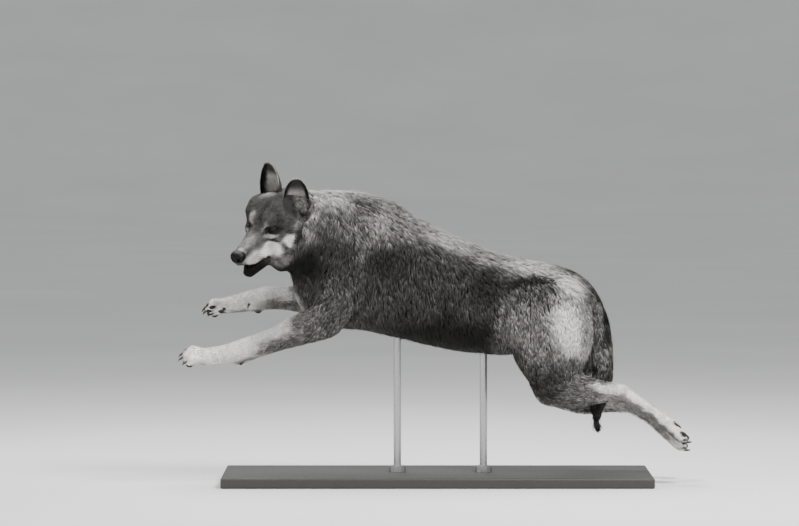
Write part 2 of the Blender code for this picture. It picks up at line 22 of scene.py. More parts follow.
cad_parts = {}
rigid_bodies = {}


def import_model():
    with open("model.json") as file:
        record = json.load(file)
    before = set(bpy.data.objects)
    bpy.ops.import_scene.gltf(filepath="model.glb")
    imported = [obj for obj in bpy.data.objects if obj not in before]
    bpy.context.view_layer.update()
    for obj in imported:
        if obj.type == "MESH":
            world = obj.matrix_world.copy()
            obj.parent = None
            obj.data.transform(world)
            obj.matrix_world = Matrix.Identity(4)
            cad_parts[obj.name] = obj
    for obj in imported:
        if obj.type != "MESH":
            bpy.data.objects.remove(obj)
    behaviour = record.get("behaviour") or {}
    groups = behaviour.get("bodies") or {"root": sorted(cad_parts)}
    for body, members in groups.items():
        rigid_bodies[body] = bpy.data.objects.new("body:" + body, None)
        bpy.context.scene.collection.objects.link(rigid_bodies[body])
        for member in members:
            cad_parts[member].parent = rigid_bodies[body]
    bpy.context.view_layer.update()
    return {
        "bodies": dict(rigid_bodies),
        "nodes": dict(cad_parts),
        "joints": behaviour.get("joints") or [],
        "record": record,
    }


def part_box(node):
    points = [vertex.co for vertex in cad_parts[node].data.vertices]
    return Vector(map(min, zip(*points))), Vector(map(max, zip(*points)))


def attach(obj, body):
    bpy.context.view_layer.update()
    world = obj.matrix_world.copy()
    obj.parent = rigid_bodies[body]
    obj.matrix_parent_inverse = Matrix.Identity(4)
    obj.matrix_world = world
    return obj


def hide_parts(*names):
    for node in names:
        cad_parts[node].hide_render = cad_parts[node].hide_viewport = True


log = logging.getLogger("wolf")
Row = tuple[float, float, float]
Array = np.ndarray
Chance = np.random.Generator


class Side(Enum):
    """The side of a paired part, as the sign of its Y in the world."""

    LEFT = -1
    RIGHT = 1
    BOTH = 0

    @property
    def hand(self) -> int:
        """1 for the left and -1 for the right, as the head's own +Y runs to its left."""
        return -self.value


# --- The wolf's own sizes ---


@dataclass(frozen=True)
class HeadPose:
    """Where the head is and how it is turned. Its own +X runs out of the nose, and +Y to the wolf's left."""

    place: Row = (-0.510, -0.072, 0.741)
    turn: float = 54.0
    nod: float = 28.0
    tilt: float = -13.0
    size: float = 1.05
    jaw_hinge: Row = (-0.065, 0.0, -0.045)
    jaw_open: float = 9.0

    def matrix(self) -> Matrix:
        """The head's own frame."""
        facing = Matrix(((-1, 0, 0), (0, -1, 0), (0, 0, 1))).to_4x4()
        turned = Matrix.Rotation(math.radians(self.turn), 4, "Z")
        nodded = Matrix.Rotation(math.radians(self.nod), 4, "Y")
        tilted = Matrix.Rotation(math.radians(self.tilt), 4, "X")
        return Matrix.Translation(self.place) @ facing @ turned @ nodded @ tilted @ Matrix.Scale(self.size, 4)

    def jaw(self) -> Matrix:
        """The head's frame, turned down about the hinge of the jaw."""
        hinge = Matrix.Translation(self.jaw_hinge)
        return self.matrix() @ hinge @ Matrix.Rotation(math.radians(self.jaw_open), 4, "Y") @ hinge.inverted()


@dataclass(frozen=True)
class EyeForm:
    """An eye and the opening of its lids, in the frame of the head."""

    place: Row = (-0.010, 0.034, 0.002)
    radius: float = 0.0125
    outwards: float = 36.0  # degrees that it looks to the side
    upwards: float = 6.0
    slant: float = 17.0  # degrees that the outer corner is higher
    half_width: float = 62.0  # of the opening, in degrees of the eyeball
    half_height: float = 18.5
    room: float = 0.0035  # by which the skin is sunk under the eyeball, to make room for the lids

    def centre(self, hand: int) -> Row:
        """The middle of the left eye for a hand of 1, and of the right eye for -1."""
        x, y, z = self.place
        return x, hand * y, z

    def axes(self, hand: int) -> Array:
        """The rows gaze, across and up of one eye.

        Args:
            hand: 1 for the left eye and -1 for the right.

        Returns:
            Three unit rows in the frame of the head. Across runs to the outer corner.
        """
        side, rise = math.radians(self.outwards), math.radians(self.upwards)
        level = math.cos(rise)
        gaze = Vector((math.cos(side) * level, hand * math.sin(side) * level, math.sin(rise)))
        across = Vector((0, 0, hand)).cross(gaze).normalized()
        across = Matrix.Rotation(-hand * math.radians(self.slant), 3, gaze) @ across
        up = gaze.cross(across) * hand
        return np.array((gaze, across, up))


@dataclass(frozen=True)
class LidForm:
    """The shell of the lids: rings round the opening, out over the skin and back behind it."""

    points: int = 72  # of each ring
    rings: tuple[tuple[float, float], ...] = (  # measure of the opening, and height over the eyeball
        (0.86, 0.0001), (0.90, 0.0008), (0.98, 0.0013), (1.10, 0.0015), (1.30, 0.0014), (1.55, 0.0015),
        (1.85, 0.0013), (2.20, 0.0008), (2.60, -0.0005), (2.60, -0.0030), (1.80, -0.0030), (0.92, -0.0025),
    )
    fitted: float = 1.4  # the measure from which the shell follows the skin
    back: float = -0.001  # a ring lower than this over the eyeball is behind the skin
    over_skin: tuple[tuple[float, ...], ...] = ((1.55, 1.85, 2.2, 2.6), (0.0008, 0.0002, -0.0006, -0.0015))
    least: tuple[tuple[float, ...], ...] = ((1.85, 2.2, 2.6), (0.0006, -0.0002, -0.0020))
    upper: float = 0.10  # by which the upper lid opens less
    haired: tuple[float, float] = (1.25, 2.5)  # where short hair grows


@dataclass(frozen=True)
class NoseForm:
    """The leather of the nose, in the frame of the head."""

    place: Row = (0.1165, 0.0, -0.0275)
    radii: Row = (0.0175, 0.0208, 0.0172)
    nostril: Row = (0.0100, 0.0098, -0.0005)  # its depth, and where it is across and in height


@dataclass(frozen=True)
class EarForm:
    """A pricked ear: its root in the head's frame, how it turns, and its widths from root to tip."""

    root: Row
    lean: float  # degrees about the head's X
    swing: float  # degrees about its Y
    hand: int  # 1 for the left ear and -1 for the right
    rim: Row  # height of the head's surface at its middle, and its rise along X and along Y
    flat: float  # share of the hair's depth that is combed flat in front of it; under 0 it stands up
    hollow: float  # how far the skin is sunk in front of it
    turn: float = 32.0  # degrees that its opening is turned outwards
    shift: Row = (0, 0, 0)  # of the ear from its pocket
    tall: float = 1.0  # by which its heights are stretched
    heights: tuple[float, ...] = (0.000, 0.020, 0.045, 0.070, 0.088, 0.098, 0.1045)
    widths: tuple[float, ...] = (0.0385, 0.0415, 0.0415, 0.0360, 0.0275, 0.0190, 0.0090)
    depths: tuple[float, ...] = (0.0230, 0.0215, 0.0180, 0.0130, 0.0085, 0.0050, 0.0025)
    wall: float = 0.0022
    widest: tuple[float, float] = (0.0285, 0.0455)  # half sizes of the filling under it
    cover: float = 0.006  # by which the filling under it rises over the head

    def matrix(self, head: Matrix) -> Matrix:
        """The ear's own frame: +Z runs to the tip, and its opening faces +X."""
        return self.pocket(head) @ Matrix.Translation(self.shift)

    def pocket(self, head: Matrix) -> Matrix:
        """The frame of the pocket that the ear grows from."""
        lean = Matrix.Rotation(math.radians(self.lean), 4, "X")
        swing = Matrix.Rotation(math.radians(self.swing), 4, "Y")
        turn = Matrix.Rotation(math.radians(self.hand * self.turn), 4, "Z")
        return head @ Matrix.Translation(self.root) @ (lean @ swing) @ turn


@dataclass(frozen=True)
class LegForm:
    """One leg: the joints that its hair follows, and the frame of its paw."""

    name: str
    joints: tuple[tuple[str, Row, Row], ...]  # node, where its hair starts and where it runs to
    sole: Row  # where the sole faces
    wrist_pad: Row | None = None
    dewclaw: tuple[Row, Row] | None = None

    def paw(self) -> Matrix:
        """The paw's own frame: +X runs to the toes, and +Z out of the back of the foot."""
        _, knuckles, toes = self.joints[-1]
        along = (Vector(toes) - Vector(knuckles)).normalized()
        up = -Vector(self.sole)
        up = (up - along * up.dot(along)).normalized()
        turned = Matrix((along, up.cross(along), up)).transposed().to_4x4()
        return Matrix.Translation(knuckles) @ turned


HEAD = HeadPose()
EYE, LIDS, NOSE = EyeForm(), LidForm(), NoseForm()
EARS = {
    Side.LEFT: EarForm(
        (-0.112, 0.047, 0.006), lean=-4, swing=-4, hand=1, rim=(0.047, -0.02, 0.11), flat=0.85, hollow=0.034,
        shift=(0.0117, 0, -0.012), tall=1.12,
    ),
    Side.RIGHT: EarForm(
        (-0.116, -0.033, 0.022), lean=6, swing=-9, hand=-1, rim=(0.008, -0.04, 0.28), flat=-0.50, hollow=0.0,
        turn=12.0,
    ),
}
TOE_SPREAD, TOE_REACH = 0.0185, (0.062, 0.074, 0.074, 0.062)
# how far each toe reaches, and where it lies across the paw
TOES = tuple((reach, (number - 1.5) * TOE_SPREAD * 1.08) for number, reach in enumerate(TOE_REACH))
LEGS = (
    LegForm(
        "fore_left",
        (
            ("foreleg_left_elbow", (-0.235, -0.082, 0.645), (-0.318, -0.104, 0.474)),
            ("foreleg_left_forearm", (-0.330, -0.104, 0.470), (-0.545, -0.100, 0.392)),
            ("foreleg_left_pastern", (-0.545, -0.100, 0.392), (-0.664, -0.100, 0.371)),
            ("foreleg_left_paw", (-0.664, -0.100, 0.371), (-0.738, -0.100, 0.372)),
        ),
        (0, 0.55, -0.84),
        (-0.567, -0.100, 0.352),
        ((-0.602, -0.073, 0.3655), (-0.88, 0.0, 0.47)),
    ),
    LegForm(
        "fore_right",
        (
            ("foreleg_right_elbow", (-0.225, 0.082, 0.700), (-0.278, 0.102, 0.522)),
            ("foreleg_right_forearm", (-0.300, 0.102, 0.524), (-0.500, 0.098, 0.531)),
            ("foreleg_right_pastern", (-0.500, 0.098, 0.531), (-0.607, 0.098, 0.511)),
            ("foreleg_right_paw", (-0.607, 0.098, 0.511), (-0.682, 0.098, 0.496)),
        ),
        (0, -0.45, -0.89),
        (-0.522, 0.098, 0.491),
        ((-0.551, 0.071, 0.509), (-0.65, 0.0, -0.76)),
    ),
    LegForm(
        "hind_left",
        (
            ("hindleg_left_thigh", (0.355, -0.068, 0.540), (0.375, -0.098, 0.285)),
            ("hindleg_left_shank", (0.318, -0.098, 0.285), (0.532, -0.080, 0.264)),
            ("hindleg_left_hock", (0.532, -0.080, 0.264), (0.668, -0.080, 0.172)),
            ("hindleg_left_paw", (0.668, -0.080, 0.172), (0.741, -0.080, 0.103)),
        ),
        (1, 0, 0.35),
    ),
    LegForm(
        "hind_right",
        (
            ("hindleg_right_thigh", (0.360, 0.068, 0.535), (0.420, 0.098, 0.262)),
            ("hindleg_right_shank", (0.368, 0.098, 0.262), (0.562, 0.074, 0.221)),
            ("hindleg_right_hock", (0.562, 0.074, 0.221), (0.676, 0.074, 0.138)),
            ("hindleg_right_paw", (0.676, 0.074, 0.138), (0.741, 0.074, 0.074)),
        ),
        (1, 0, 0.35),
    ),
)
TAIL_LINE = (
    (0.345, 0.0, 0.606),
    (0.390, 0.0, 0.588),
    (0.436, 0.0, 0.537),
    (0.466, 0.0, 0.470),
    (0.477, 0.0, 0.400),
    (0.482, 0.0, 0.330),
    (0.475, 0.0, 0.262),
    (0.460, 0.0, 0.205),
    (0.466, 0.0, 0.160),
)
RODS = ((-0.115, 0.405), (0.135, 0.372))  # X, and the height of the coat there


# --- Hair and markings ---


@dataclass(frozen=True)
class Fleece:
    """How hair grows on one part: its depth over the skin, a tuft's length and width, tone and lie."""

    depth: float
    length: float
    width: float
    tone: float
    lie: Row = (0.0, 0.0, 0.0)

    def row(self) -> list[float]:
        """The numbers that blend from one part into the next."""
        return [self.depth, self.length, self.width, self.tone, *self.lie]


BODY_FLEECE = {
    "head": Fleece(0.0045, 0.012, 0.0011, 0.30),
    "lower_jaw": Fleece(0.0026, 0.007, 0.0010, 0.08),
    "neck": Fleece(0.028, 0.050, 0.0021, 0.44, (-0.15, 0, -1)),
    "trunk_ribs": Fleece(0.021, 0.045, 0.0021, 0.35, (0.05, 0, -1)),
    "trunk_loin": Fleece(0.019, 0.042, 0.0020, 0.36, (0.25, 0, -1)),
    "elbow": Fleece(0.013, 0.030, 0.0018, 0.42),
    "forearm": Fleece(0.0070, 0.017, 0.0014, 0.90),
    "pastern": Fleece(0.0040, 0.010, 0.0012, 0.94),
    "thigh": Fleece(0.015, 0.034, 0.0018, 0.48),
    "shank": Fleece(0.0085, 0.019, 0.0017, 0.46),
    "hock": Fleece(0.0048, 0.011, 0.0013, 0.72),
    "paw": Fleece(0.0030, 0.0075, 0.0011, 0.92),
    "tail": Fleece(0.020, 0.052, 0.0020, 0.48),
}


@dataclass(frozen=True)
class Swell:
    """A place on the head where the hair is longer or shorter than round it."""

    place: Row
    radius: float
    depth: float
    length: float
    width: float


HEAD_SWELLS = (
    Swell((0.075, 0.0, -0.035), 0.075, 0.0022, 0.0055, 0.0008),
    Swell((-0.085, 0.100, -0.035), 0.062, 0.0210, 0.046, 0.0018),
    Swell((-0.060, 0.060, -0.090), 0.046, 0.0140, 0.034, 0.0017),
    Swell((-0.050, 0.0, -0.120), 0.050, 0.0140, 0.032, 0.0019),
    Swell((-0.165, 0.0, 0.020), 0.050, 0.0120, 0.026, 0.0018),
    Swell((-0.092, 0.044, 0.022), 0.030, 0.0034, 0.0080, 0.0010),
)


@dataclass(frozen=True)
class Patch:
    """An oval mark (some are painted shade and highlights): its middle, half sizes and tone, and how far its
    edge is blurred.
    """

    place: Row
    radii: Row
    tone: float
    lean: float = 0.0  # degrees that its +X end is raised
    side: Side = Side.BOTH
    blur: float = 0.35
    paired: bool = True  # for marks of the head: also on its other side

    def weight(self, points: Array) -> Array:
        """How far points take this mark.

        Args:
            points: Points in the frame of the marks.

        Returns:
            Shares from 0 to 1.
        """
        away = points - np.array(self.place)
        c, s = math.cos(math.radians(self.lean)), math.sin(math.radians(self.lean))
        along, upright = away[:, 0] * c + away[:, 2] * s, away[:, 2] * c - away[:, 0] * s
        turned = np.stack((along, away[:, 1], upright), 1) / np.array(self.radii)
        found = 1 - ramp(lengths(turned), 1 - self.blur, 1 + self.blur)
        if self.side is not Side.BOTH:
            found *= ramp(points[:, 1] * self.side.value, -0.015, 0.015)
        return found


def lengths(rows: Array) -> Array:
    """The length of each row."""
    return np.linalg.norm(rows, axis=1)


def blend(one: Array, other: Array | float, share: Array) -> Array:
    """Values drawn from one towards the other by a share from 0 to 1."""
    return one * (1 - share) + other * share


def ramp(values: Array, low: float, high: float) -> Array:
    """Values read on a smooth step that is 0 at low and 1 at high."""
    t = np.clip((values - low) / (high - low), 0, 1)
    return t * t * (3 - 2 * t)


def flat_patches(*rows: tuple[float, ...]) -> tuple[Patch, ...]:
    """Marks, painted shade and highlights among them, that go right through the body from side to side.

    Args:
        rows: Of each mark the middle along the body and in height, half its length and height, its tone, and
            where they aren't 0 and 0.35, the degrees that its rear end is raised and its blur.

    Returns:
        The marks.
    """
    made = []
    for x, z, long, high, tone, *more in rows:
        lean, blur = (*more, *(0.0, 0.35)[len(more) :])
        made.append(Patch((x, 0.0, z), (long, 1.0, high), tone, lean, blur=blur))
    return tuple(made)


BODY_MARKS_AND_PAINTED_LIGHT = (
    *flat_patches(
        # back and flanks, with painted shade along the belly
        (-0.020, 0.745, 0.430, 0.070, 0.52, -20),
        (0.010, 0.570, 0.210, 0.110, 0.28, -8, 0.6),
        # painted shade under the body: the belly drawn dark
        (0.060, 0.410, 0.240, 0.052, 0.18, 0, 0.6),
        (-0.040, 0.500, 0.060, 0.050, 0.30),
        (0.090, 0.480, 0.050, 0.040, 0.30),
        (0.030, 0.430, 0.030, 0.060, 0.19, 0, 0.8),
        # neck and shoulder, with a painted shadow on the throat
        (-0.285, 0.835, 0.110, 0.050, 0.74, -6, 0.5),
        (-0.255, 0.710, 0.080, 0.052, 0.42, 0, 0.5),
        (-0.300, 0.630, 0.085, 0.065, 0.27),
        (-0.190, 0.795, 0.050, 0.022, 0.30, -32, 0.8),
        (-0.152, 0.725, 0.036, 0.062, 0.58, 12),
        (-0.190, 0.668, 0.026, 0.056, 0.50, -35),
        (-0.145, 0.628, 0.062, 0.042, 0.19, 0, 0.7),
        # painted shadow of the head on the throat, under the jaw
        (-0.385, 0.600, 0.050, 0.052, 0.12, 0, 0.6),
        (-0.325, 0.515, 0.080, 0.075, 0.35),
    ),
    Patch((-0.400, 0.0, 0.480), (0.030, 0.040, 0.085), 0.85),
    *flat_patches(
        # top of the back
        (-0.073, 0.742, 0.058, 0.038, 0.50, -20),
        (0.052, 0.694, 0.075, 0.026, 0.68, -20),
        (0.182, 0.650, 0.070, 0.030, 0.56, -12),
        (0.148, 0.556, 0.042, 0.050, 0.19, 0, 0.8),
        (0.284, 0.622, 0.080, 0.024, 0.76, -5),
        (0.285, 0.577, 0.072, 0.015, 0.13, 12),
        (0.300, 0.532, 0.064, 0.034, 0.34),
        # thigh and shank
        (0.255, 0.415, 0.085, 0.100, 0.50),
        # painted shade under the stifle
        (0.228, 0.325, 0.030, 0.060, 0.27, 0, 0.6),
        # painted highlight: white where the light falls on the light grey thigh
        (0.388, 0.434, 0.050, 0.090, 1.0, 20, 0.5),
        (0.398, 0.560, 0.052, 0.034, 0.86, -42),
        (0.445, 0.400, 0.030, 0.085, 0.62),
        (0.345, 0.322, 0.130, 0.028, 0.38),
        # painted shade on the knee
        (0.313, 0.274, 0.075, 0.038, 0.25, 0, 0.7),
        (0.430, 0.274, 0.060, 0.040, 0.42),
        (0.508, 0.232, 0.045, 0.030, 0.60),
        # the bright top edge of the hock: partly pale hair, partly painted highlight
        (0.502, 0.280, 0.062, 0.013, 0.92, -10),
        # hind feet: the bright top is partly pale hair and partly painted highlight, the grey below partly
        # grey hair and partly painted shade
        (0.612, 0.182, 0.120, 0.018, 0.50, -38),
        (0.640, 0.202, 0.150, 0.016, 0.97, -38, 0.25),
        # the bright heel: partly pale hair, partly painted highlight
        (0.545, 0.283, 0.020, 0.018, 0.92),
    ),
    # forelegs: the greyer undersides are partly their own grey and partly painted shade
    Patch((-0.425, -0.100, 0.405), (0.115, 0.06, 0.032), 0.42, 12, Side.LEFT),
    Patch((-0.375, -0.100, 0.455), (0.055, 0.08, 0.060), 0.42, 0, Side.LEFT),
    Patch((-0.545, -0.100, 0.355), (0.040, 0.05, 0.014), 0.55, 0, Side.LEFT),
    Patch((-0.440, 0.100, 0.505), (0.085, 0.06, 0.026), 0.48, 0, Side.RIGHT),
    Patch((-0.550, 0.100, 0.480), (0.060, 0.05, 0.014), 0.50, 0, Side.RIGHT),
)
TAIL_MARKS = flat_patches(
    (0.366, 0.622, 0.030, 0.030, 0.10),
    (0.395, 0.568, 0.062, 0.036, 0.88, -42, 0.3),
    (0.430, 0.590, 0.070, 0.012, 0.22, -42),
    (0.486, 0.520, 0.060, 0.014, 0.22, -60),
    (0.502, 0.440, 0.016, 0.075, 0.20, -5),
    (0.500, 0.450, 0.016, 0.022, 0.08),
    (0.520, 0.330, 0.016, 0.060, 0.25, -6),
    (0.500, 0.285, 0.030, 0.024, 0.30),
    (0.455, 0.190, 0.045, 0.050, 0.22),
)
HEAD_MARKS_AND_PAINTED_LIGHT = (
    Patch((-0.060, 0.030, 0.045), (0.060, 0.060, 0.035), 0.25),
    # painted highlight on the far side of the crown only, so it is not paired
    Patch((-0.094, -0.030, 0.054), (0.020, 0.026, 0.024), 0.60, blur=0.6, paired=False),
    Patch((-0.020, 0.0, 0.042), (0.050, 0.006, 0.022), 0.18, blur=0.6),
    Patch((0.005, 0.025, 0.017), (0.013, 0.010, 0.016), 0.58, blur=0.6),
    Patch((-0.010, -0.030, 0.034), (0.016, 0.013, 0.012), 0.54, blur=0.7, paired=False),
    Patch((0.060, 0.0, -0.006), (0.060, 0.022, 0.013), 0.50, blur=0.5),
    Patch((0.103, 0.0, -0.011), (0.012, 0.020, 0.008), 0.74, blur=0.5),
    Patch((0.074, 0.026, -0.047), (0.040, 0.022, 0.020), 0.84, blur=0.4),
    Patch((0.040, 0.030, -0.021), (0.022, 0.010, 0.008), 0.36, blur=0.5),
    Patch((0.088, 0.017, -0.014), (0.010, 0.008, 0.004), 0.34, blur=0.5),
    Patch((0.022, 0.050, -0.048), (0.032, 0.034, 0.025), 0.98, blur=0.3),
    Patch((-0.010, 0.040, 0.002), (0.026, 0.024, 0.011), 0.09, blur=0.5),
    Patch((-0.098, 0.062, 0.022), (0.036, 0.036, 0.036), 0.14, blur=0.5),
    Patch((-0.004, 0.064, -0.030), (0.006, 0.016, 0.016), 0.55, blur=0.6),
    Patch((-0.016, 0.090, -0.029), (0.012, 0.018, 0.024), 0.93, blur=0.35),
    Patch((-0.026, 0.111, -0.032), (0.013, 0.010, 0.034), 0.20, blur=0.5),
    Patch((-0.032, 0.132, -0.032), (0.018, 0.012, 0.022), 0.66, blur=0.5),
    Patch((-0.068, 0.134, 0.017), (0.020, 0.020, 0.014), 0.85, blur=0.4),
    # painted shade under the cheek and jaw, darkest towards the throat
    Patch((0.002, 0.068, -0.084), (0.044, 0.040, 0.021), 0.52, blur=0.5),
    Patch((-0.040, 0.080, -0.124), (0.070, 0.070, 0.022), 0.15, blur=0.5),
    Patch((0.004, 0.050, -0.024), (0.018, 0.015, 0.0055), 0.18, 20, blur=0.5),
    Patch((0.006, 0.044, -0.010), (0.024, 0.018, 0.0055), 0.68, 14, blur=0.5),
)
WARMTH = {"dark": (1.05, 1.0, 0.93), "pale": (1.03, 1.0, 0.95)}


def tone_colour(tone: Array) -> Array:
    """Linear colours, hardly warmer than grey, of tones from 0 to 1."""
    share = np.clip(tone, 0, 1)[:, None]
    tint = np.array(WARMTH["dark"]) * (1 - share) + np.array(WARMTH["pale"]) * share
    return np.clip(0.92 * np.clip(tone, 0.01, 1)[:, None] ** 2.3 * tint, 0, 1)


def ripple(points: Array, size: float, seed: int) -> Array:
    """A soft pattern of blots, which repeats nowhere on the wolf.

    Args:
        points: Where it is read.
        size: How wide a blot is.
        seed: Which pattern.

    Returns:
        Values from -1 to 1.
    """
    draw = np.random.default_rng(seed)
    total = np.zeros(len(points))
    for octave in (1.0, 1.0, 1.6, 1.6, 2.3, 2.3):
        way = draw.normal(size=3)
        way *= math.pi * octave / size / np.linalg.norm(way)
        bend = draw.normal(size=3) * math.pi * 0.7 / size
        total += np.sin(points @ way + 1.7 * np.sin(points @ bend + draw.uniform(0, 6)) + draw.uniform(0, 6))
    return np.clip(total / 3.2, -1, 1)


# --- Meshes as arrays ---


def mesh_points(mesh: Mesh) -> Array:
    """The places of a mesh's vertices."""
    found = np.empty(len(mesh.vertices) * 3, np.float32)
    mesh.vertices.foreach_get("co", found)
    return found.reshape(-1, 3).astype(float)


def mesh_triangles(mesh: Mesh) -> Array:
    """The triangles of a mesh, as rows of vertex numbers."""
    mesh.calc_loop_triangles()
    found = np.empty(len(mesh.loop_triangles) * 3, np.int32)
    mesh.loop_triangles.foreach_get("vertices", found)
    return found.reshape(-1, 3)


def unit(rows: Array) -> Array:
    """Rows scaled to length 1."""
    return rows / np.maximum(np.linalg.norm(rows, axis=1, keepdims=True), 1e-12)


def moved(points: Array, matrix: Matrix) -> Array:
    """Points taken through a matrix."""
    rows = np.array(matrix)
    return points @ rows[:3, :3].T + rows[:3, 3]


def folded(points: Array) -> Array:
    """Points in the frame of the head, with its right side laid over its left."""
    return np.stack((points[:, 0], np.abs(points[:, 1]), points[:, 2]), 1)


def mesh_from(name: str, points: Array, triangles: Array) -> Mesh:
    """A mesh joined from arrays, as a coat of many small tufts is.

    Args:
        name: Name of the mesh.
        points: Its vertices.
        triangles: Rows of three vertex numbers.

    Returns:
        The mesh, shaded smooth.
    """
    mesh = bpy.data.meshes.new(name)
    mesh.vertices.add(len(points))
    mesh.vertices.foreach_set("co", points.astype(np.float32).ravel())
    mesh.loops.add(triangles.size)
    mesh.loops.foreach_set("vertex_index", triangles.astype(np.int32).ravel())
    mesh.polygons.add(len(triangles))
    mesh.polygons.foreach_set("loop_start", np.arange(0, triangles.size, 3, dtype=np.int32))
    mesh.update(calc_edges=True)
    mesh.shade_smooth()
    return mesh


def in_order(mesh: Mesh) -> Mesh:
    """The same mesh with its points and triangles sorted: solidify closes a rim in no fixed order."""
    points, triangles = mesh_points(mesh), mesh_triangles(mesh)
    order = np.lexsort(points.T)
    triangles = np.argsort(order)[triangles]
    turned = (triangles.argmin(1)[:, None] + np.arange(3)) % 3
    triangles = np.take_along_axis(triangles, turned, 1)
    return mesh_from(mesh.name, points[order], triangles[np.lexsort(triangles.T)])


def show(name: str, mesh: Mesh) -> Object:
    """An object of a mesh, in the scene."""
    made = bpy.data.objects.new(name, mesh)
    bpy.context.scene.collection.objects.link(made)
    return made


def show_form(name: str, form: BMesh) -> Object:
    """An object of a bmesh, faces outwards, in the scene."""
    bmesh.ops.recalc_face_normals(form, faces=form.faces)
    mesh = bpy.data.meshes.new(name)
    form.to_mesh(mesh)
    form.free()
    mesh.shade_smooth()
    return show(name, mesh)


def settled(thing: Object) -> Mesh:
    """The mesh of an object with its modifiers applied. The object itself is removed."""
    bpy.context.view_layer.update()
    graph = bpy.context.evaluated_depsgraph_get()
    mesh = bpy.data.meshes.new_from_object(thing.evaluated_get(graph))
    bpy.data.objects.remove(thing)
    return mesh


def swell_ways(points: Array, triangles: Array) -> Array:
    """The outward direction at each vertex, from the faces round it.

    Args:
        points: The vertices.
        triangles: Rows of three vertex numbers.

    Returns:
        Unit rows.
    """
    a, b, c = (points[triangles[:, k]] for k in range(3))
    faces = np.cross(b - a, c - a)
    corners = triangles.T.ravel()
    found = np.empty_like(points)
    for k in range(3):
        found[:, k] = np.bincount(corners, np.tile(faces[:, k], 3), len(points))
    return unit(found)


class Surface:
    """A closed mesh as arrays, on which values can be spread from each vertex to its neighbours."""

    def __init__(self, mesh: Mesh) -> None:
        """Reads the mesh.

        Args:
            mesh: The mesh to read.
        """
        self.points = mesh_points(mesh)
        self.triangles = mesh_triangles(mesh)
        edges = np.empty(len(mesh.edges) * 2, np.int32)
        mesh.edges.foreach_get("vertices", edges)
        self.one, self.other = edges.reshape(-1, 2).T
        count = len(self.points)
        self.degree = np.bincount(self.one, minlength=count) + np.bincount(self.other, minlength=count)
        self.degree = np.maximum(self.degree, 1)[:, None]

    def spread(self, values: Array, rounds: int, share: float = 0.5) -> Array:
        """Values drawn towards the mean of their neighbours.

        Args:
            values: A row for each vertex.
            rounds: How many times they are drawn.
            share: How far each time; under 0 they are driven apart.

        Returns:
            The new rows.
        """
        count = len(self.points)
        for _ in range(rounds):
            mean = np.empty_like(values)
            for k in range(values.shape[1]):
                mean[:, k] = np.bincount(self.one, values[self.other, k], count)
                mean[:, k] += np.bincount(self.other, values[self.one, k], count)
            values = values + share * (mean / self.degree - values)
        return values

    def polish(self, rounds: int) -> None:
        """Smooths the points without shrinking them."""
        for _ in range(rounds):
            self.points = self.spread(self.points, 1, 0.52)
            self.points = self.spread(self.points, 1, -0.54)

    def normals(self) -> Array:
        """The outward direction at each vertex."""
        return swell_ways(self.points, self.triangles)

    def areas(self) -> Array:
        """Twice the area of each triangle."""
        a, b, c = (self.points[self.triangles[:, k]] for k in range(3))
        return lengths(np.cross(b - a, c - a))

    def mixed(self, values: Array, chosen: Array, shares: Array) -> Array:
        """Values of the vertices at places on chosen triangles, by the shares of their corners."""
        rows = values[self.triangles[chosen]]
        return (rows * (shares if rows.ndim == 2 else shares[:, :, None])).sum(1)

    def sow(self, weights: Array, count: int, draw: Chance) -> tuple[Array, Array, Array]:
        """Strews places over the surface.

        Args:
            weights: How many places each triangle gets, by proportion.
            count: Number of places.
            draw: The source of chance.

        Returns:
            The chosen triangles, the shares of their corners, and the places.
        """
        chosen = draw.choice(len(weights), count, p=weights / weights.sum())
        shares = draw.dirichlet((1, 1, 1), count)
        return chosen, shares, self.mixed(self.points, chosen, shares)


@dataclass
class Shell:
    """A thin closed shell that is joined to the skin: an ear, or the lids of an eye."""

    side: Side
    mesh: Mesh
    surface: Surface
    reading: Array  # 1 on an ear's lining and 0 on its back, or the measure of the lids' opening
    tone: Array


def tube(
    form: BMesh, rings: list[tuple[Matrix, float]], segments: int, ends: tuple[int, ...] = (0, -1)
) -> None:
    """Adds a row of circles, joined into a tube.

    Args:
        form: What the tube is added to.
        rings: Frame and radius of each circle.
        segments: Points of each circle.
        ends: The circles that are closed.
    """
    loops = []
    for matrix, radius in rings:
        ring = bmesh.ops.create_circle(form, segments=segments, radius=radius, matrix=matrix)["verts"]
        loops.append(list({edge for vertex in ring for edge in vertex.link_edges}))
    for one, other in zip(loops, loops[1:]):
        bmesh.ops.bridge_loops(form, edges=one + other)
    for end in ends:
        bmesh.ops.contextual_create(form, geom=loops[end])


# --- Finishes ---


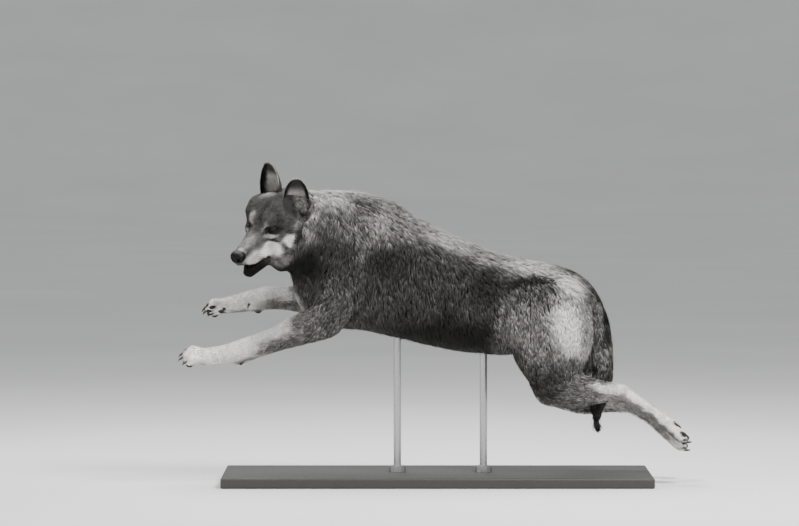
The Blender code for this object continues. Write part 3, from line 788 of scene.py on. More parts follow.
class Finish:
    """A material under construction: its nodes are made and wired by short calls."""

    def __init__(self, name: str, roughness: float, **fixed: float) -> None:
        """Starts a material.

        Args:
            name: Name of the material.
            roughness: Roughness of the surface.
            fixed: Other sockets of the shader, with spaces written as underscores.
        """
        self.material = bpy.data.materials.new(name)
        self.material.use_nodes = True
        self.tree = self.material.node_tree
        self.shader = self.tree.nodes["Principled BSDF"]
        self.shader.inputs["Roughness"].default_value = roughness
        for socket, value in fixed.items():
            self.shader.inputs[socket.replace("_", " ")].default_value = value

    def node(self, kind: str, **values: str | float | Row) -> Node:
        """Adds a node.

        Args:
            kind: What the node is, without its prefix.
            values: Its properties, or its sockets with spaces written as underscores.

        Returns:
            The node.
        """
        made = self.tree.nodes.new("ShaderNode" + kind)
        for name, value in values.items():
            if hasattr(made, name):
                setattr(made, name, value)
            else:
                made.inputs[name.replace("_", " ")].default_value = value
        return made

    def wire(self, source: NodeSocket, target: NodeSocket) -> None:
        """Joins two sockets."""
        self.tree.links.new(source, target)

    def place(self, scale: Row = (1, 1, 1)) -> NodeSocket:
        """The place on the object, stretched along each axis."""
        where = self.node("TexCoord")
        if scale == (1, 1, 1):
            return where.outputs["Object"]
        mapping = self.node("Mapping", Scale=scale)
        self.wire(where.outputs["Object"], mapping.inputs["Vector"])
        return mapping.outputs["Vector"]

    def noise(self, size: float, detail: float = 3.0, stretch: Row = (1, 1, 1)) -> NodeSocket:
        """Noise with blots about size across."""
        made = self.node("TexNoise", Scale=1 / size, Detail=detail, Roughness=0.55)
        self.wire(self.place(stretch), made.inputs["Vector"])
        return made.outputs["Fac"]

    def between(self, value: NodeSocket, low: float, high: float) -> NodeSocket:
        """A value from 0.3 to 0.7 read as one from low to high."""
        made = self.node("MapRange", From_Min=0.3, From_Max=0.7, To_Min=low, To_Max=high)
        self.wire(value, made.inputs["Value"])
        return made.outputs["Result"]

    def tinted(self, colour: NodeSocket, value: NodeSocket) -> NodeSocket:
        """A colour made lighter or darker by a value about 1."""
        made = self.node("VectorMath", operation="SCALE")
        self.wire(colour, made.inputs[0])
        self.wire(value, made.inputs["Scale"])
        return made.outputs["Vector"]

    def two_colours(self, value: NodeSocket, dark: Row, light: Row) -> NodeSocket:
        """The shader's colour from dark to light as the value goes from 0 to 1."""
        made = self.node("ValToRGB")
        made.color_ramp.elements[0].color = (*dark, 1)
        made.color_ramp.elements[1].color = (*light, 1)
        self.wire(value, made.inputs["Fac"])
        self.wire(made.outputs["Color"], self.shader.inputs["Base Color"])
        return made.outputs["Color"]

    def bump(self, height: NodeSocket, strength: float, depth: float) -> None:
        """Relief from a height, depth metres at full strength."""
        made = self.node("Bump", Strength=strength, Distance=depth)
        self.wire(height, made.inputs["Height"])
        self.wire(made.outputs["Normal"], self.shader.inputs["Normal"])

    def rough(self, value: NodeSocket, low: float, high: float) -> None:
        """Roughness that varies with a value from low to high."""
        self.wire(self.between(value, low, high), self.shader.inputs["Roughness"])


@dataclass(frozen=True)
class CoatFinish:
    """Hair, and the skin that shows between it: the same markings and painted shade, with fine streaks and
    relief.
    """

    name: str
    grain: float  # how wide the streaks are
    relief: float

    def make(self) -> Material:
        """The material."""
        finish = Finish(self.name, 0.62, Specular_IOR_Level=0.22)
        marking_and_painted_light = finish.node("Attribute", attribute_name="marking_and_painted_light")
        fine = finish.noise(self.grain, 3.0)
        broad = finish.noise(self.grain * 9, 2.0)
        streaked = finish.tinted(marking_and_painted_light.outputs["Color"], finish.between(fine, 0.80, 1.20))
        blotted = finish.tinted(streaked, finish.between(broad, 0.88, 1.12))
        finish.wire(blotted, finish.shader.inputs["Base Color"])
        finish.rough(fine, 0.52, 0.75)
        finish.bump(fine, 0.5, self.relief)
        return finish.material


@dataclass(frozen=True)
class LeatherFinish:
    """The pebbled leather of nose, pads and lips."""

    name: str
    dark: Row
    light: Row
    roughness: float
    grain: float
    relief: float

    def make(self) -> Material:
        """The material."""
        finish = Finish(self.name, self.roughness, Specular_IOR_Level=0.14)
        cells = finish.node("TexVoronoi", Scale=1 / self.grain, feature="F1")
        finish.wire(finish.place(), cells.inputs["Vector"])
        broad = finish.noise(self.grain * 6)
        finish.two_colours(broad, self.dark, self.light)
        finish.rough(broad, self.roughness - 0.08, self.roughness + 0.12)
        finish.bump(cells.outputs["Distance"], 0.6, self.relief)
        return finish.material


@dataclass(frozen=True)
class PlainFinish:
    """A hard surface with faint relief and wear: claw horn, steel, paint and floor."""

    name: str
    dark: Row
    light: Row
    roughness: float
    grain: float
    relief: float
    metallic: float = 0.0
    stretch: Row = (1, 1, 1)

    def make(self) -> Material:
        """The material."""
        finish = Finish(self.name, self.roughness, Metallic=self.metallic)
        worn = finish.noise(self.grain, 4.0, self.stretch)
        finish.two_colours(finish.between(worn, 0.0, 1.0), self.dark, self.light)
        finish.rough(worn, max(self.roughness - 0.1, 0.05), self.roughness + 0.1)
        finish.bump(worn, 0.4, self.relief)
        return finish.material


@dataclass(frozen=True)
class EyeFinish:
    """Wet eye: black pupil, amber iris with fine rays, dark rim and dark white."""

    pupil: float = 0.915  # cosines of the angle from the gaze
    iris: float = 0.80
    rim: float = 0.74

    def make(self) -> Material:
        """The material, which reads the attribute facing, 1 straight ahead and less to the sides."""
        finish = Finish("eye_wet", 0.05, Specular_IOR_Level=0.20)
        facing = finish.node("Attribute", attribute_name="facing")
        rays = finish.noise(0.0014, 5.0)
        shifted = finish.node("Math", operation="MULTIPLY_ADD")
        finish.wire(finish.between(rays, -1, 1), shifted.inputs[0])
        shifted.inputs[1].default_value = 0.012
        finish.wire(facing.outputs["Fac"], shifted.inputs[2])
        colours = finish.node("ValToRGB")
        bands = [
            (0.0, (0.020, 0.014, 0.012)),
            (self.rim, (0.012, 0.009, 0.007)),
            (self.iris, (0.014, 0.008, 0.004)),
            (0.5 * (self.iris + self.pupil), (0.030, 0.019, 0.008)),
            (self.pupil - 0.012, (0.020, 0.012, 0.005)),
            (self.pupil, (0.002, 0.002, 0.002)),
        ]
        ends = colours.color_ramp.elements
        for spot, (at, colour) in enumerate(bands):
            stop = ends[spot] if spot < len(ends) else ends.new(at)
            stop.position = at
            stop.color = (*colour, 1)
        finish.wire(shifted.outputs["Value"], colours.inputs["Fac"])
        finish.wire(colours.outputs["Color"], finish.shader.inputs["Base Color"])
        return finish.material


HAIR = CoatFinish("coat_hair", 0.0016, 0.0004)
BARE_SKIN = CoatFinish("coat_skin", 0.0016, 0.0012)
NOSE_BLACK = LeatherFinish(
    "nose_black", (0.0022, 0.0022, 0.0022), (0.0052, 0.0050, 0.0048), 0.44, 0.0011, 0.0003
)
# black and dull: painted shade in the deep hollows of the nostrils
NOSTRIL_SHADE = PlainFinish("nostril", (0.001, 0.001, 0.001), (0.002, 0.002, 0.002), 1.0, 0.01, 0.0)
# painted shade: the tongue gets the darkness inside the mouth, not a tongue's own pink
SHADED_TONGUE = LeatherFinish("tongue", (0.020, 0.009, 0.009), (0.040, 0.017, 0.016), 0.5, 0.0012, 0.0003)
WHISKER = PlainFinish("whisker", (0.02, 0.02, 0.02), (0.03, 0.03, 0.03), 0.4, 0.01, 0.0)
CLAW_HORN = PlainFinish("claw_horn", (0.016, 0.013, 0.011), (0.050, 0.042, 0.034), 0.36, 0.004, 0.0001)
PAD_BLACK = LeatherFinish("pad_black", (0.012, 0.011, 0.010), (0.040, 0.036, 0.033), 0.62, 0.0013, 0.0006)
STEEL_BRUSHED = PlainFinish(
    "steel_brushed", (0.42, 0.42, 0.42), (0.58, 0.58, 0.575), 0.34, 0.004, 0.0001, 1.0, (8, 8, 0.4)
)
BASE_SATIN = PlainFinish("base_satin", (0.026, 0.025, 0.024), (0.036, 0.035, 0.033), 0.50, 0.006, 0.0002)
FLOOR_PALE = PlainFinish("floor_pale", (0.60, 0.60, 0.595), (0.66, 0.66, 0.655), 0.85, 1.6, 0.0)


# --- Skin ---


@dataclass
class Pelt:
    """What grows on the skin: a surface, and for each of its vertices the hair, and the markings with painted
    shade.
    """

    surface: Surface
    nodes: Array  # the number of the solid that each vertex lies in
    depth: Array
    length: Array
    width: Array
    tone: Array
    lie: Array
    bare: Array  # 1 where no hair grows


@dataclass
class Skin:
    """The one skin of the wolf, grown inside its solids by the depth of the coat."""

    frame: dict
    grain: float = 0.0036  # of the first closed form
    polish: int = 14
    erosion_steps: int = 8
    blending: int = 26  # rounds in which the hair of one part runs into the next
    triangles: int = 186_000
    quick_triangles: int = 110_000
    shell_triangles: int = 9_000  # of them for the ears and lids
    overlap: float = 0.0006  # by which the solids are swollen, and sunk again in pockets
    nape: Row = (0.0170, 0.034, 0.0017)  # depth, length and width of the hair at the back of the head
    hard: tuple[str, ...] = ("eye", "nose", "claw", "stand")  # how the names of solids with no skin start
    names: list[str] = field(init=False)
    ear_shells: list[Shell] = field(init=False, default_factory=list)
    lid_shells: list[Shell] = field(init=False, default_factory=list)

    def __post_init__(self) -> None:
        """Sorts the solids of flesh from the rest, and keeps the frames of the head and the jaw."""
        self.names = sorted(n for n in self.frame["nodes"] if not n.startswith(self.hard))
        self.head, self.jaw = HEAD.matrix(), HEAD.jaw()
        self.into_head = self.head.inverted()

    def among(self, nodes: Array, *names: str) -> Array:
        """Which of the numbers in nodes stand for one of the named solids."""
        return np.isin(nodes, [self.names.index(name) for name in names])

    def plugs(self) -> list[tuple[Matrix, Row]]:
        """Rounded masses fused with the solids, as a frame and half sizes.

        They give flesh round the tops of the rods and in the toes, and make the lips and the jaw's corners.
        """
        found = []
        for x, height in RODS:
            for rise in (0.020, 0.040, 0.060):
                found.append((Matrix.Translation((x, 0, height + rise)), (0.015, 0.015, 0.018)))
        for leg in LEGS:
            for reach, across in TOES:
                place = Matrix.Translation((reach - 0.008, across, -0.001))
                found.append((leg.paw() @ place, (0.008, 0.006, 0.006)))
        for hand in (1, -1):
            for x in np.linspace(0.012, 0.106, 14):
                y = np.interp(x, (0.012, 0.030, 0.065, 0.090, 0.106), (0.037, 0.031, 0.0245, 0.0190, 0.0100))
                low = np.interp(x, (0.012, 0.030, 0.075, 0.106), (-0.063, -0.0615, -0.0600, -0.0500))
                deep = np.interp(x, (0.012, 0.075, 0.106), (0.0125, 0.0120, 0.0085))
                found.append((self.head @ Matrix.Translation((x, hand * y, low)), (0.0095, 0.0080, deep)))
                # the lower lip
                y = np.interp(x, (0.012, 0.050, 0.086, 0.102), (0.031, 0.0215, 0.0140, 0.0060))
                place = Matrix.Translation((min(x - 0.012, 0.084), hand * y, -0.0650))
                found.append((self.jaw @ place, (0.0095, 0.0065, 0.0085)))
            for x in (-0.050, -0.038, -0.026, -0.014, -0.004, 0.004):
                place = Matrix.Translation((x, hand * 0.020, -0.070))
                found.append((self.head @ place, (0.014, 0.024, 0.024)))
        return found

    def solids(self) -> tuple[Array, Array, Array]:
        """The solids of flesh, with eyes and nose, swollen a little so that they overlap.

        Returns:
            Points, triangles, and the number of the solid of each triangle.
        """
        points, triangles, owners = [], [], []
        start = 0
        for number, name in enumerate([*self.names, "eye_left", "eye_right", "nose"]):
            if name.startswith("ear"):
                continue
            mesh = self.frame["nodes"][name].data
            loose, faces = mesh_points(mesh), mesh_triangles(mesh)
            _, first, merged = np.unique(np.round(loose, 6), axis=0, return_index=True, return_inverse=True)
            own, faces = loose[first], merged.ravel()[faces]
            points.append(own + swell_ways(own, faces) * self.overlap)
            triangles.append(faces + start)
            owners.append(np.full(len(faces), min(number, len(self.names))))
            start += len(own)
        points, triangles, owners = np.vstack(points), np.vstack(triangles), np.concatenate(owners)
        owners[owners == len(self.names)] = self.names.index("head")
        return points, triangles, owners

    def closed_form(self, points: Array, triangles: Array) -> Surface:
        """One closed, even surface round all the solids.

        Args:
            points: Points of the solids.
            triangles: Faces of the solids.

        Returns:
            The surface, smoothed.
        """
        form = bmesh.new()
        for matrix, radii in self.plugs():
            scaled = matrix @ Matrix.Diagonal((*radii, 1))
            bmesh.ops.create_icosphere(form, subdivisions=2, radius=1, matrix=scaled)
        for ear in EARS.values():
            stub = bmesh.ops.create_cone(
                form, cap_ends=True, segments=32, radius1=1.0, radius2=1.0, depth=1.0
            )
            for vertex in stub["verts"]:
                x, y = vertex.co.x * ear.widest[0], vertex.co.y * ear.widest[1]
                top = max(ear.rim[0] + ear.rim[1] * x + ear.rim[2] * y, 0.003) + ear.cover
                vertex.co = ear.pocket(self.head) @ Vector((x, y, (vertex.co.z + 0.5) * top))
        solids = mesh_from("solids", points, triangles)
        form.from_mesh(solids)
        bpy.data.meshes.remove(solids)
        mesh = bpy.data.meshes.new("form")
        form.to_mesh(mesh)
        form.free()
        thing = show("form", mesh)
        remesh = thing.modifiers.new("close", "REMESH")
        remesh.mode, remesh.voxel_size, remesh.adaptivity = "VOXEL", self.grain, 0.0
        closed = settled(thing)
        closed = self.largest(closed)
        surface = Surface(closed)
        surface.polish(self.polish)
        log.info("closed form: %d points", len(surface.points))
        return surface

    @staticmethod
    def largest(mesh: Mesh) -> Mesh:
        """A mesh without the small pockets that its inner walls left.

        Args:
            mesh: The mesh, which is changed.

        Returns:
            The mesh.
        """
        surface = Surface(mesh)
        label = np.arange(len(surface.points))
        while True:
            low = np.minimum(label[surface.one], label[surface.other])
            before = label.copy()
            np.minimum.at(label, surface.one, low)
            np.minimum.at(label, surface.other, low)
            label = label[label]
            if (label == before).all():
                break
        kept = np.bincount(label).argmax()
        form = bmesh.new()
        form.from_mesh(mesh)
        form.verts.ensure_lookup_table()
        lost = [form.verts[i] for i in np.flatnonzero(label != kept)]
        bmesh.ops.delete(form, geom=lost, context="VERTS")
        form.to_mesh(mesh)
        form.free()
        return mesh

    def fleece_rows(self, points: Array, nodes: Array) -> Array:
        """The hair of each vertex before it is blended.

        Args:
            points: Points of the closed form.
            nodes: The number of the solid that each lies in.

        Returns:
            A row for each point: depth, length, width, tone and lie.
        """
        rows = np.zeros((len(points), 7))
        lines = {name: (Vector(a), Vector(b)) for leg in LEGS for name, a, b in leg.joints}
        for number, name in enumerate(self.names):
            here = nodes == number
            kind = name if name in BODY_FLEECE else name.split("_")[-1]
            if not here.any():
                continue
            rows[here] = BODY_FLEECE[kind].row()
            if name in lines:
                start, end = lines[name]
                rows[here, 4:] = (end - start).normalized()
            elif name == "tail":
                rows[here, 4:] = self.tail_lie(points[here])
            elif name in ("head", "lower_jaw"):
                rows[here, 4:] = self.head_lie(points[here])
        local = moved(points, self.into_head)
        on_head = self.among(nodes, "head", "lower_jaw")
        back = (ramp(-local[:, 0], 0.035, 0.125) * on_head)[:, None]
        rows[:, :3] = blend(rows[:, :3], np.array(self.nape), back)
        for swell in HEAD_SWELLS:
            far = lengths(folded(local) - swell.place)
            near = 1 - ramp(far, swell.radius * 0.5, swell.radius * 1.3)
            near = (near * on_head)[:, None]
            rows[:, :3] = blend(rows[:, :3], np.array((swell.depth, swell.length, swell.width)), near)
        return rows

    def spare_pockets(self, surface: Surface, rows: Array) -> None:
        """Takes no depth where the surface faces itself closely, as in a pocket or in the mouth.

        Args:
            surface: The closed form.
            rows: Hair of each vertex, whose depth is changed.
        """
        tree = BVHTree.FromPolygons(surface.points.tolist(), surface.triangles.tolist())
        normals = surface.normals()
        for i, (point, normal) in enumerate(zip(surface.points, normals)):
            start = Vector(point + normal * 0.0004)
            if tree.ray_cast(start, Vector(normal), max(0.024, rows[i, 0] * 1.4))[0] is not None:
                rows[i, 0] = -self.overlap

    def head_lie(self, points: Array) -> Array:
        """Hair on the head runs away from the nose, and sags on the cheeks."""
        nose = np.array(self.head @ Vector((0.135, 0, -0.020)))
        local = moved(points, self.into_head)
        sag = ramp(np.abs(local[:, 1]), 0.05, 0.11) * 0.80
        return unit(points - nose) - np.array((0, 0, 1.0)) * sag[:, None]

    @staticmethod
    def tail_lie(points: Array) -> Array:
        """Hair on the tail runs to its tip."""
        line = np.array(TAIL_LINE)
        middles, ways = (line[1:] + line[:-1]) / 2, unit(line[1:] - line[:-1])
        near = np.linalg.norm(points[:, None, :] - middles[None], axis=2).argmin(1)
        return ways[near]

    def marked(self, points: Array, tone: Array, nodes: Array) -> Array:
        """The tones with all marks laid over them, painted shade and highlights among them.

        Args:
            points: Points of the skin or the coat.
            tone: Their tones, which are changed.
            nodes: The number of the solid that each lies in.

        Returns:
            The tones, no darker than black hair is.
        """
        shake = np.stack([ripple(points, 0.030, seed) for seed in (3, 4, 5)], 1) * 0.007
        shaken = points + shake
        on_tail, on_head = self.among(nodes, "tail"), self.among(nodes, "head", "lower_jaw")
        for marks, here in ((BODY_MARKS_AND_PAINTED_LIGHT, ~on_tail & ~on_head), (TAIL_MARKS, on_tail)):
            for mark in marks:
                weight = mark.weight(shaken[here])
                tone[here] = blend(tone[here], mark.tone, weight)
        local = moved(points + shake * 0.3, self.into_head)
        doubled = folded(local)
        near_head = lengths(local - (-0.03, 0, -0.02)) < 0.20
        here = near_head & self.among(nodes, "head", "lower_jaw", "neck")
        for mark in HEAD_MARKS_AND_PAINTED_LIGHT:
            weight = mark.weight((doubled if mark.paired else local)[here])
            tone[here] = blend(tone[here], mark.tone, weight)
        return np.clip(tone, 0.02, 1)

    def grow(self) -> Pelt:
        """Grows the skin and all that its hair needs.

        Returns:
            The pelt, whose surface is the skin.
        """
        points, triangles, owners = self.solids()
        surface = self.closed_form(points, triangles)
        tree = BVHTree.FromPolygons(points.tolist(), triangles.tolist())
        outer = surface.points.copy()
        faces = np.array([tree.find_nearest(Vector(p))[2] for p in outer])
        nodes = owners[faces]
        log.info("solids named")
        rows = self.fleece_rows(outer, nodes)
        self.spare_pockets(surface, rows)
        rows = surface.spread(rows, self.blending)
        for _ in range(self.erosion_steps):
            step = (rows[:, :1] + self.overlap) / self.erosion_steps
            surface.points = surface.points - surface.normals() * step
            calm = np.clip(rows[:, :1] / 0.012, 0.0, 1.0)
            surface.points += (surface.spread(surface.points, 2) - surface.points) * calm
        surface.polish(2)
        self.sculpt(surface)
        tone = self.marked(outer, rows[:, 3].copy(), nodes)
        tone = surface.spread(tone[:, None], 1)[:, 0]
        depth, length, width = rows[:, :3].T
        pelt = Pelt(surface, nodes, depth, length, width, tone, rows[:, 4:], np.zeros(len(outer)))
        self.flatten(pelt, outer)
        self.find_bare(pelt)
        log.info("skin grown")
        return pelt

    def flatten(self, pelt: Pelt, outer: Array) -> None:
        """Keeps the hair short before the ears, flat at the left one and standing at the right one.

        Args:
            pelt: What grows on the skin.
            outer: The vertices before the skin was sunk.
        """
        for form in EARS.values():
            local = moved(outer, form.matrix(self.head).inverted())
            before = np.array((0.026, 0.012 * form.hand, form.rim[0]))
            far = lengths((local - before) / (0.036, 0.044, 0.040))
            near = form.flat * (1 - ramp(far, 0.6, 1.3))
            pelt.depth[:] *= 1 - near
            pelt.length[:] = blend(pelt.length, 0.012, near)
            pelt.width[:] = blend(pelt.width, 0.0009, near)

    def sculpt(self, surface: Surface) -> None:
        """Shapes the face: whisker pads, brows, the beds of eyes, ears and nose, and the crown.

        Args:
            surface: The skin, whose points are moved.
        """
        local = moved(surface.points, self.into_head)
        near = np.flatnonzero(lengths(local) < 0.19)
        face = local[near]
        for hand in (1, -1):
            for place, radius, lift in (
                ((0.084, hand * 0.022, -0.046), 0.020, 0.0020),
                ((-0.006, hand * 0.040, 0.020), 0.018, 0.0014),
            ):
                away = face - place
                bulge = np.exp(-((lengths(away) / radius) ** 2)) * lift
                face += unit(face - (face * (1, 0, 0) + np.array((0, 0, -0.03)))) * bulge[:, None]
            face = self.open_lids(face, hand)
        for form in EARS.values():
            frame = form.matrix(Matrix.Identity(4))
            place = moved(face, frame.inverted())
            far = ((place[:, 0] - 0.020) / 0.030) ** 2 + ((place[:, 1] - 0.020 * form.hand) / 0.036) ** 2
            down = form.hollow * np.exp(-far) * ramp(place[:, 2], -0.03, 0.01)
            face = face - np.array(frame.col[2][:3]) * down[:, None]
        # the crown, which rises before the right ear
        far = lengths((face - (-0.080, -0.018, 0.040)) / (0.040, 0.040, 0.040))
        face = face + np.array((0, 0, 0.008)) * np.exp(-(far**2))[:, None]
        # the skin shrinks inside the leather of the nose
        centre, radii = np.array(NOSE.place), np.array(NOSE.radii)
        away = face - centre
        inside = 1 - ramp(lengths(away / radii), 1.0, 1.25)
        inside *= face[:, 0] > centre[0] - 0.008
        face = face - away * (0.55 * inside)[:, None]
        local[near] = face
        surface.points[near] = moved(face, self.head)

    @staticmethod
    def lid_measure(points: Array, hand: int) -> tuple[Array, Array, Array]:
        """Where points lie about an eye.

        Args:
            points: Points in the frame of the head.
            hand: 1 for the left eye and -1 for the right.

        Returns:
            Distance from the middle of the eye, direction, and the measure of the opening: under 1 inside it.
        """
        away = points - EYE.centre(hand)
        far = lengths(away)
        gaze, across, up = EYE.axes(hand)
        ahead = away @ gaze
        a = np.degrees(np.arctan2(away @ across, ahead))
        b = np.degrees(np.arctan2(away @ up, ahead))
        measure = np.abs(b) / EYE.half_height + (a / EYE.half_width) ** 2
        return far, away / np.maximum(far, 1e-9)[:, None], np.where(ahead > 0, measure, 9.0)

    def open_lids(self, face: Array, hand: int) -> Array:
        """The face with its skin drawn back behind the eyeball, to make room for the lids."""
        far, way, measure = self.lid_measure(face, hand)
        hold = 1 - ramp(measure, 1.0, 1.6)
        hold *= 1 - ramp(far, EYE.radius * 1.9, EYE.radius * 2.8)
        new = (EYE.radius - EYE.room) * hold + far * (1 - hold)
        return np.array(EYE.centre(hand)) + way * new[:, None]

    def find_bare(self, pelt: Pelt) -> None:
        """Marks where no hair grows, and darkens it: lids, nose, mouth and pads.

        Args:
            pelt: What grows on the skin.
        """
        local = moved(pelt.surface.points, self.into_head)
        for hand in (1, -1):
            far, _, measure = self.lid_measure(local, hand)
            near = far < EYE.radius * 2
            pelt.bare[:] = np.maximum(pelt.bare, (1 - ramp(measure, 1.7, 2.1)) * near)
            liner = (1 - ramp(measure, 1.6, 2.2)) * near
            pelt.tone[:] = blend(pelt.tone, 0.05, liner)
        far = lengths((local - (0.121, 0, -0.027)) / (0.018, 0.020, 0.017))
        pelt.bare[:] = np.maximum(pelt.bare, 1 - ramp(far, 0.9, 1.1))
        self.bare_mouth(pelt, local)
        for leg in LEGS:
            paw = moved(pelt.surface.points, leg.paw().inverted())
            for centre, radii in pads_of(leg):
                far = lengths((paw - centre) / radii)
                self.bare_patch(pelt, 1 - ramp(far, 0.98, 1.16), 0.12)

    def bare_mouth(self, pelt: Pelt, local: Array) -> None:
        """Bares the inside of the mouth, where the skin faces itself, and the edge of the lips.

        Args:
            pelt: What grows on the skin.
            local: The skin's points in the frame of the head.
        """
        points, normals = pelt.surface.points, pelt.surface.normals()
        self.tree = BVHTree.FromPolygons(points.tolist(), pelt.surface.triangles.tolist())
        wide = np.interp(local[:, 0], (-0.01, 0.030, 0.100), (0.042, 0.036, 0.026))
        box = (np.abs(local[:, 1]) < wide) & (local[:, 0] > -0.012) & (local[:, 0] < 0.125)
        box &= (local[:, 2] < -0.050) & (local[:, 2] > -0.115)
        edge = np.interp(local[:, 0], (0.0, 0.075, 0.106), (0.0665, 0.0655, 0.0540))
        for i in np.flatnonzero(box & (-local[:, 2] > edge - 0.005)):
            start = Vector(points[i] + normals[i] * 0.0015)
            if self.tree.ray_cast(start, Vector(normals[i]), 0.045)[0] is not None:
                # near black inside the mouth: partly its own dark skin, partly painted shade
                pelt.bare[i] = 1
                pelt.tone[i] = 0.03
        lip = ramp(-local[:, 2] - edge, -0.0015, 0.0015) * box * (local[:, 2] > -0.080)
        self.bare_patch(pelt, lip, 0.05)

    @staticmethod
    def bare_patch(pelt: Pelt, share: Array, tone: float) -> None:
        """Bares a share of each vertex of the skin, and draws its tone to the given one."""
        pelt.bare[:] = np.maximum(pelt.bare, share)
        pelt.tone[:] = blend(pelt.tone, tone, share)

    def ear(self, side: Side) -> Shell:
        """The thin cupped shell of an ear.

        Args:
            side: Which ear.

        Returns:
            The shell.
        """
        form = EARS[side]
        grid = bmesh.new()
        bmesh.ops.create_grid(grid, x_segments=40, y_segments=36, size=1)
        for vertex in grid.verts:
            vertex.co = self.ear_point(form, vertex.co.x, -0.22 + 0.61 * (vertex.co.y + 1))
        bmesh.ops.solidify(grid, geom=grid.faces, thickness=form.wall)
        bmesh.ops.smooth_vert(
            grid, verts=grid.verts, factor=0.3, use_axis_x=True, use_axis_y=True, use_axis_z=True
        )
        bmesh.ops.transform(grid, matrix=form.matrix(self.head), verts=grid.verts)
        bmesh.ops.triangulate(grid, faces=grid.faces)
        bmesh.ops.recalc_face_normals(grid, faces=grid.faces)
        mesh = bpy.data.meshes.new("ear")
        grid.to_mesh(mesh)
        grid.free()
        mesh = in_order(mesh)
        surface = Surface(mesh)
        local, _, _ = self.ear_places(side, surface.points)
        ways = surface.normals() @ np.array(form.matrix(self.head).to_3x3().normalized())
        inner = ((ways[:, :2] * local[:, :2]).sum(1) < 0).astype(float)
        return Shell(side, mesh, surface, inner, self.ear_tone(side, surface.points, inner))

    @staticmethod
    def ear_point(form: EarForm, u: float, v: float) -> Vector:
        """A point of the ear's cup.

        Args:
            form: Sizes of the ear.
            u: From -1 at one edge to 1 at the other.
            v: From 0 at the root to 1 at the tip, and under 0 below the root.

        Returns:
            The point in the ear's own frame.
        """
        height = form.heights[-1] * v
        wide = float(np.interp(height, form.heights, form.widths))
        deep = float(np.interp(height, form.heights, form.depths))
        reach = math.radians(140 - 55 * max(v, 0.0) ** 0.7)
        angle = u * reach
        fold = 0.0035 * math.exp(-(((u - form.hand * 0.62) / 0.10) ** 2) - ((v - 0.22) / 0.16) ** 2)
        across = (wide - form.wall) * math.sin(angle) / max(math.sin(min(reach, math.pi / 2)), 0.5)
        return Vector((-deep * math.cos(angle) - fold, across, height * form.tall))

    def lids(self, side: Side, pelt: Pelt) -> Shell:
        """The lids of an eye: a thin closed shell over the eyeball, with an almond opening.

        Args:
            side: Which eye.
            pelt: What grows on the skin, whose markings and painted shade run on over the lids.

        Returns:
            The shell.
        """
        gaze, across, up = EYE.axes(side.hand)
        phi = np.linspace(0, 2 * math.pi, LIDS.points, endpoint=False)
        rings = []
        for measure, over in LIDS.rings:
            a = np.radians(EYE.half_width * math.sqrt(measure) * np.cos(phi))
            b = np.radians(EYE.half_height * measure * np.sin(phi) ** 2 * np.sign(np.sin(phi)))
            b *= 1 - LIDS.upper * np.sign(b)
            way = np.outer(np.cos(a) * np.cos(b), gaze) + np.outer(np.sin(a) * np.cos(b), across)
            way += np.outer(np.sin(b), up)
            far = np.full(len(phi), EYE.radius + over)
            if measure > LIDS.fitted and over > LIDS.back:
                far = self.lid_reach(side, way, far, measure)
            rings.append(way * far[:, None] + EYE.centre(side.hand))
        turn = np.arange(len(phi))
        after = (turn + 1) % len(phi)
        faces = []
        for row in range(len(rings)):
            one, two = row * len(phi), (row + 1) % len(rings) * len(phi)
            faces.append(np.stack((one + turn, one + after, two + after), 1))
            faces.append(np.stack((one + turn, two + after, two + turn), 1))
        triangles = np.vstack(faces)[:, :: side.hand]
        points = moved(np.vstack(rings), self.head)
        measures = np.repeat([row[0] for row in LIDS.rings], len(phi))
        mesh = mesh_from("lid", points, triangles)
        under = [pelt.surface.triangles[self.tree.find_nearest(Vector(p))[2], 0] for p in points]
        tone = self.marked(points, np.full(len(points), 0.30), pelt.nodes[under])
        dark = 1 - ramp(measures, 1.15, 1.6)
        return Shell(side, mesh, Surface(mesh), measures, blend(tone, 0.05, dark))

    def lid_reach(self, side: Side, way: Array, far: Array, measure: float) -> Array:
        """How far one ring of the lids is from the middle of the eye, so that it runs into the skin.

        Args:
            side: Which eye.
            way: Directions from the middle of the eye, in the frame of the head.
            far: How far the ring may be.
            measure: The measure of the opening at the ring.

        Returns:
            The distances.
        """
        middle = self.head @ Vector(EYE.centre(side.hand))
        spare = float(np.interp(measure, *LIDS.over_skin))
        least = EYE.radius + float(np.interp(measure, *LIDS.least))
        hits = [self.tree.ray_cast(middle, self.head.to_3x3() @ Vector(one))[3] for one in way]
        return np.array([min(at, max((hit or 1.0) + spare, least)) for at, hit in zip(far, hits)])

    def thinned(self, pelt: Pelt) -> Mesh:
        """The skin with fewer triangles where hair hides it.

        Args:
            pelt: What grows on the skin.

        Returns:
            The mesh.
        """
        thing = show("skin", mesh_from("skin", pelt.surface.points, pelt.surface.triangles))
        group = thing.vertex_groups.new(name="hidden")
        local = moved(pelt.surface.points, self.into_head)
        fine = np.clip(pelt.depth / 0.010, 0.02, 1.0)
        fine[(local[:, 0] > -0.05) & (lengths(local) < 0.2)] = 0.02
        for level in np.unique(np.round(fine, 1)):
            chosen = np.flatnonzero(np.round(fine, 1) == level)
            group.add(chosen.tolist(), float(max(level, 0.02)), "REPLACE")
        thin = thing.modifiers.new("thin", "DECIMATE")
        thin.ratio = min(1.0, (self.triangles - self.shell_triangles) / len(pelt.surface.triangles))
        thin.vertex_group, thin.vertex_group_factor = "hidden", 0.02
        return settled(thing)

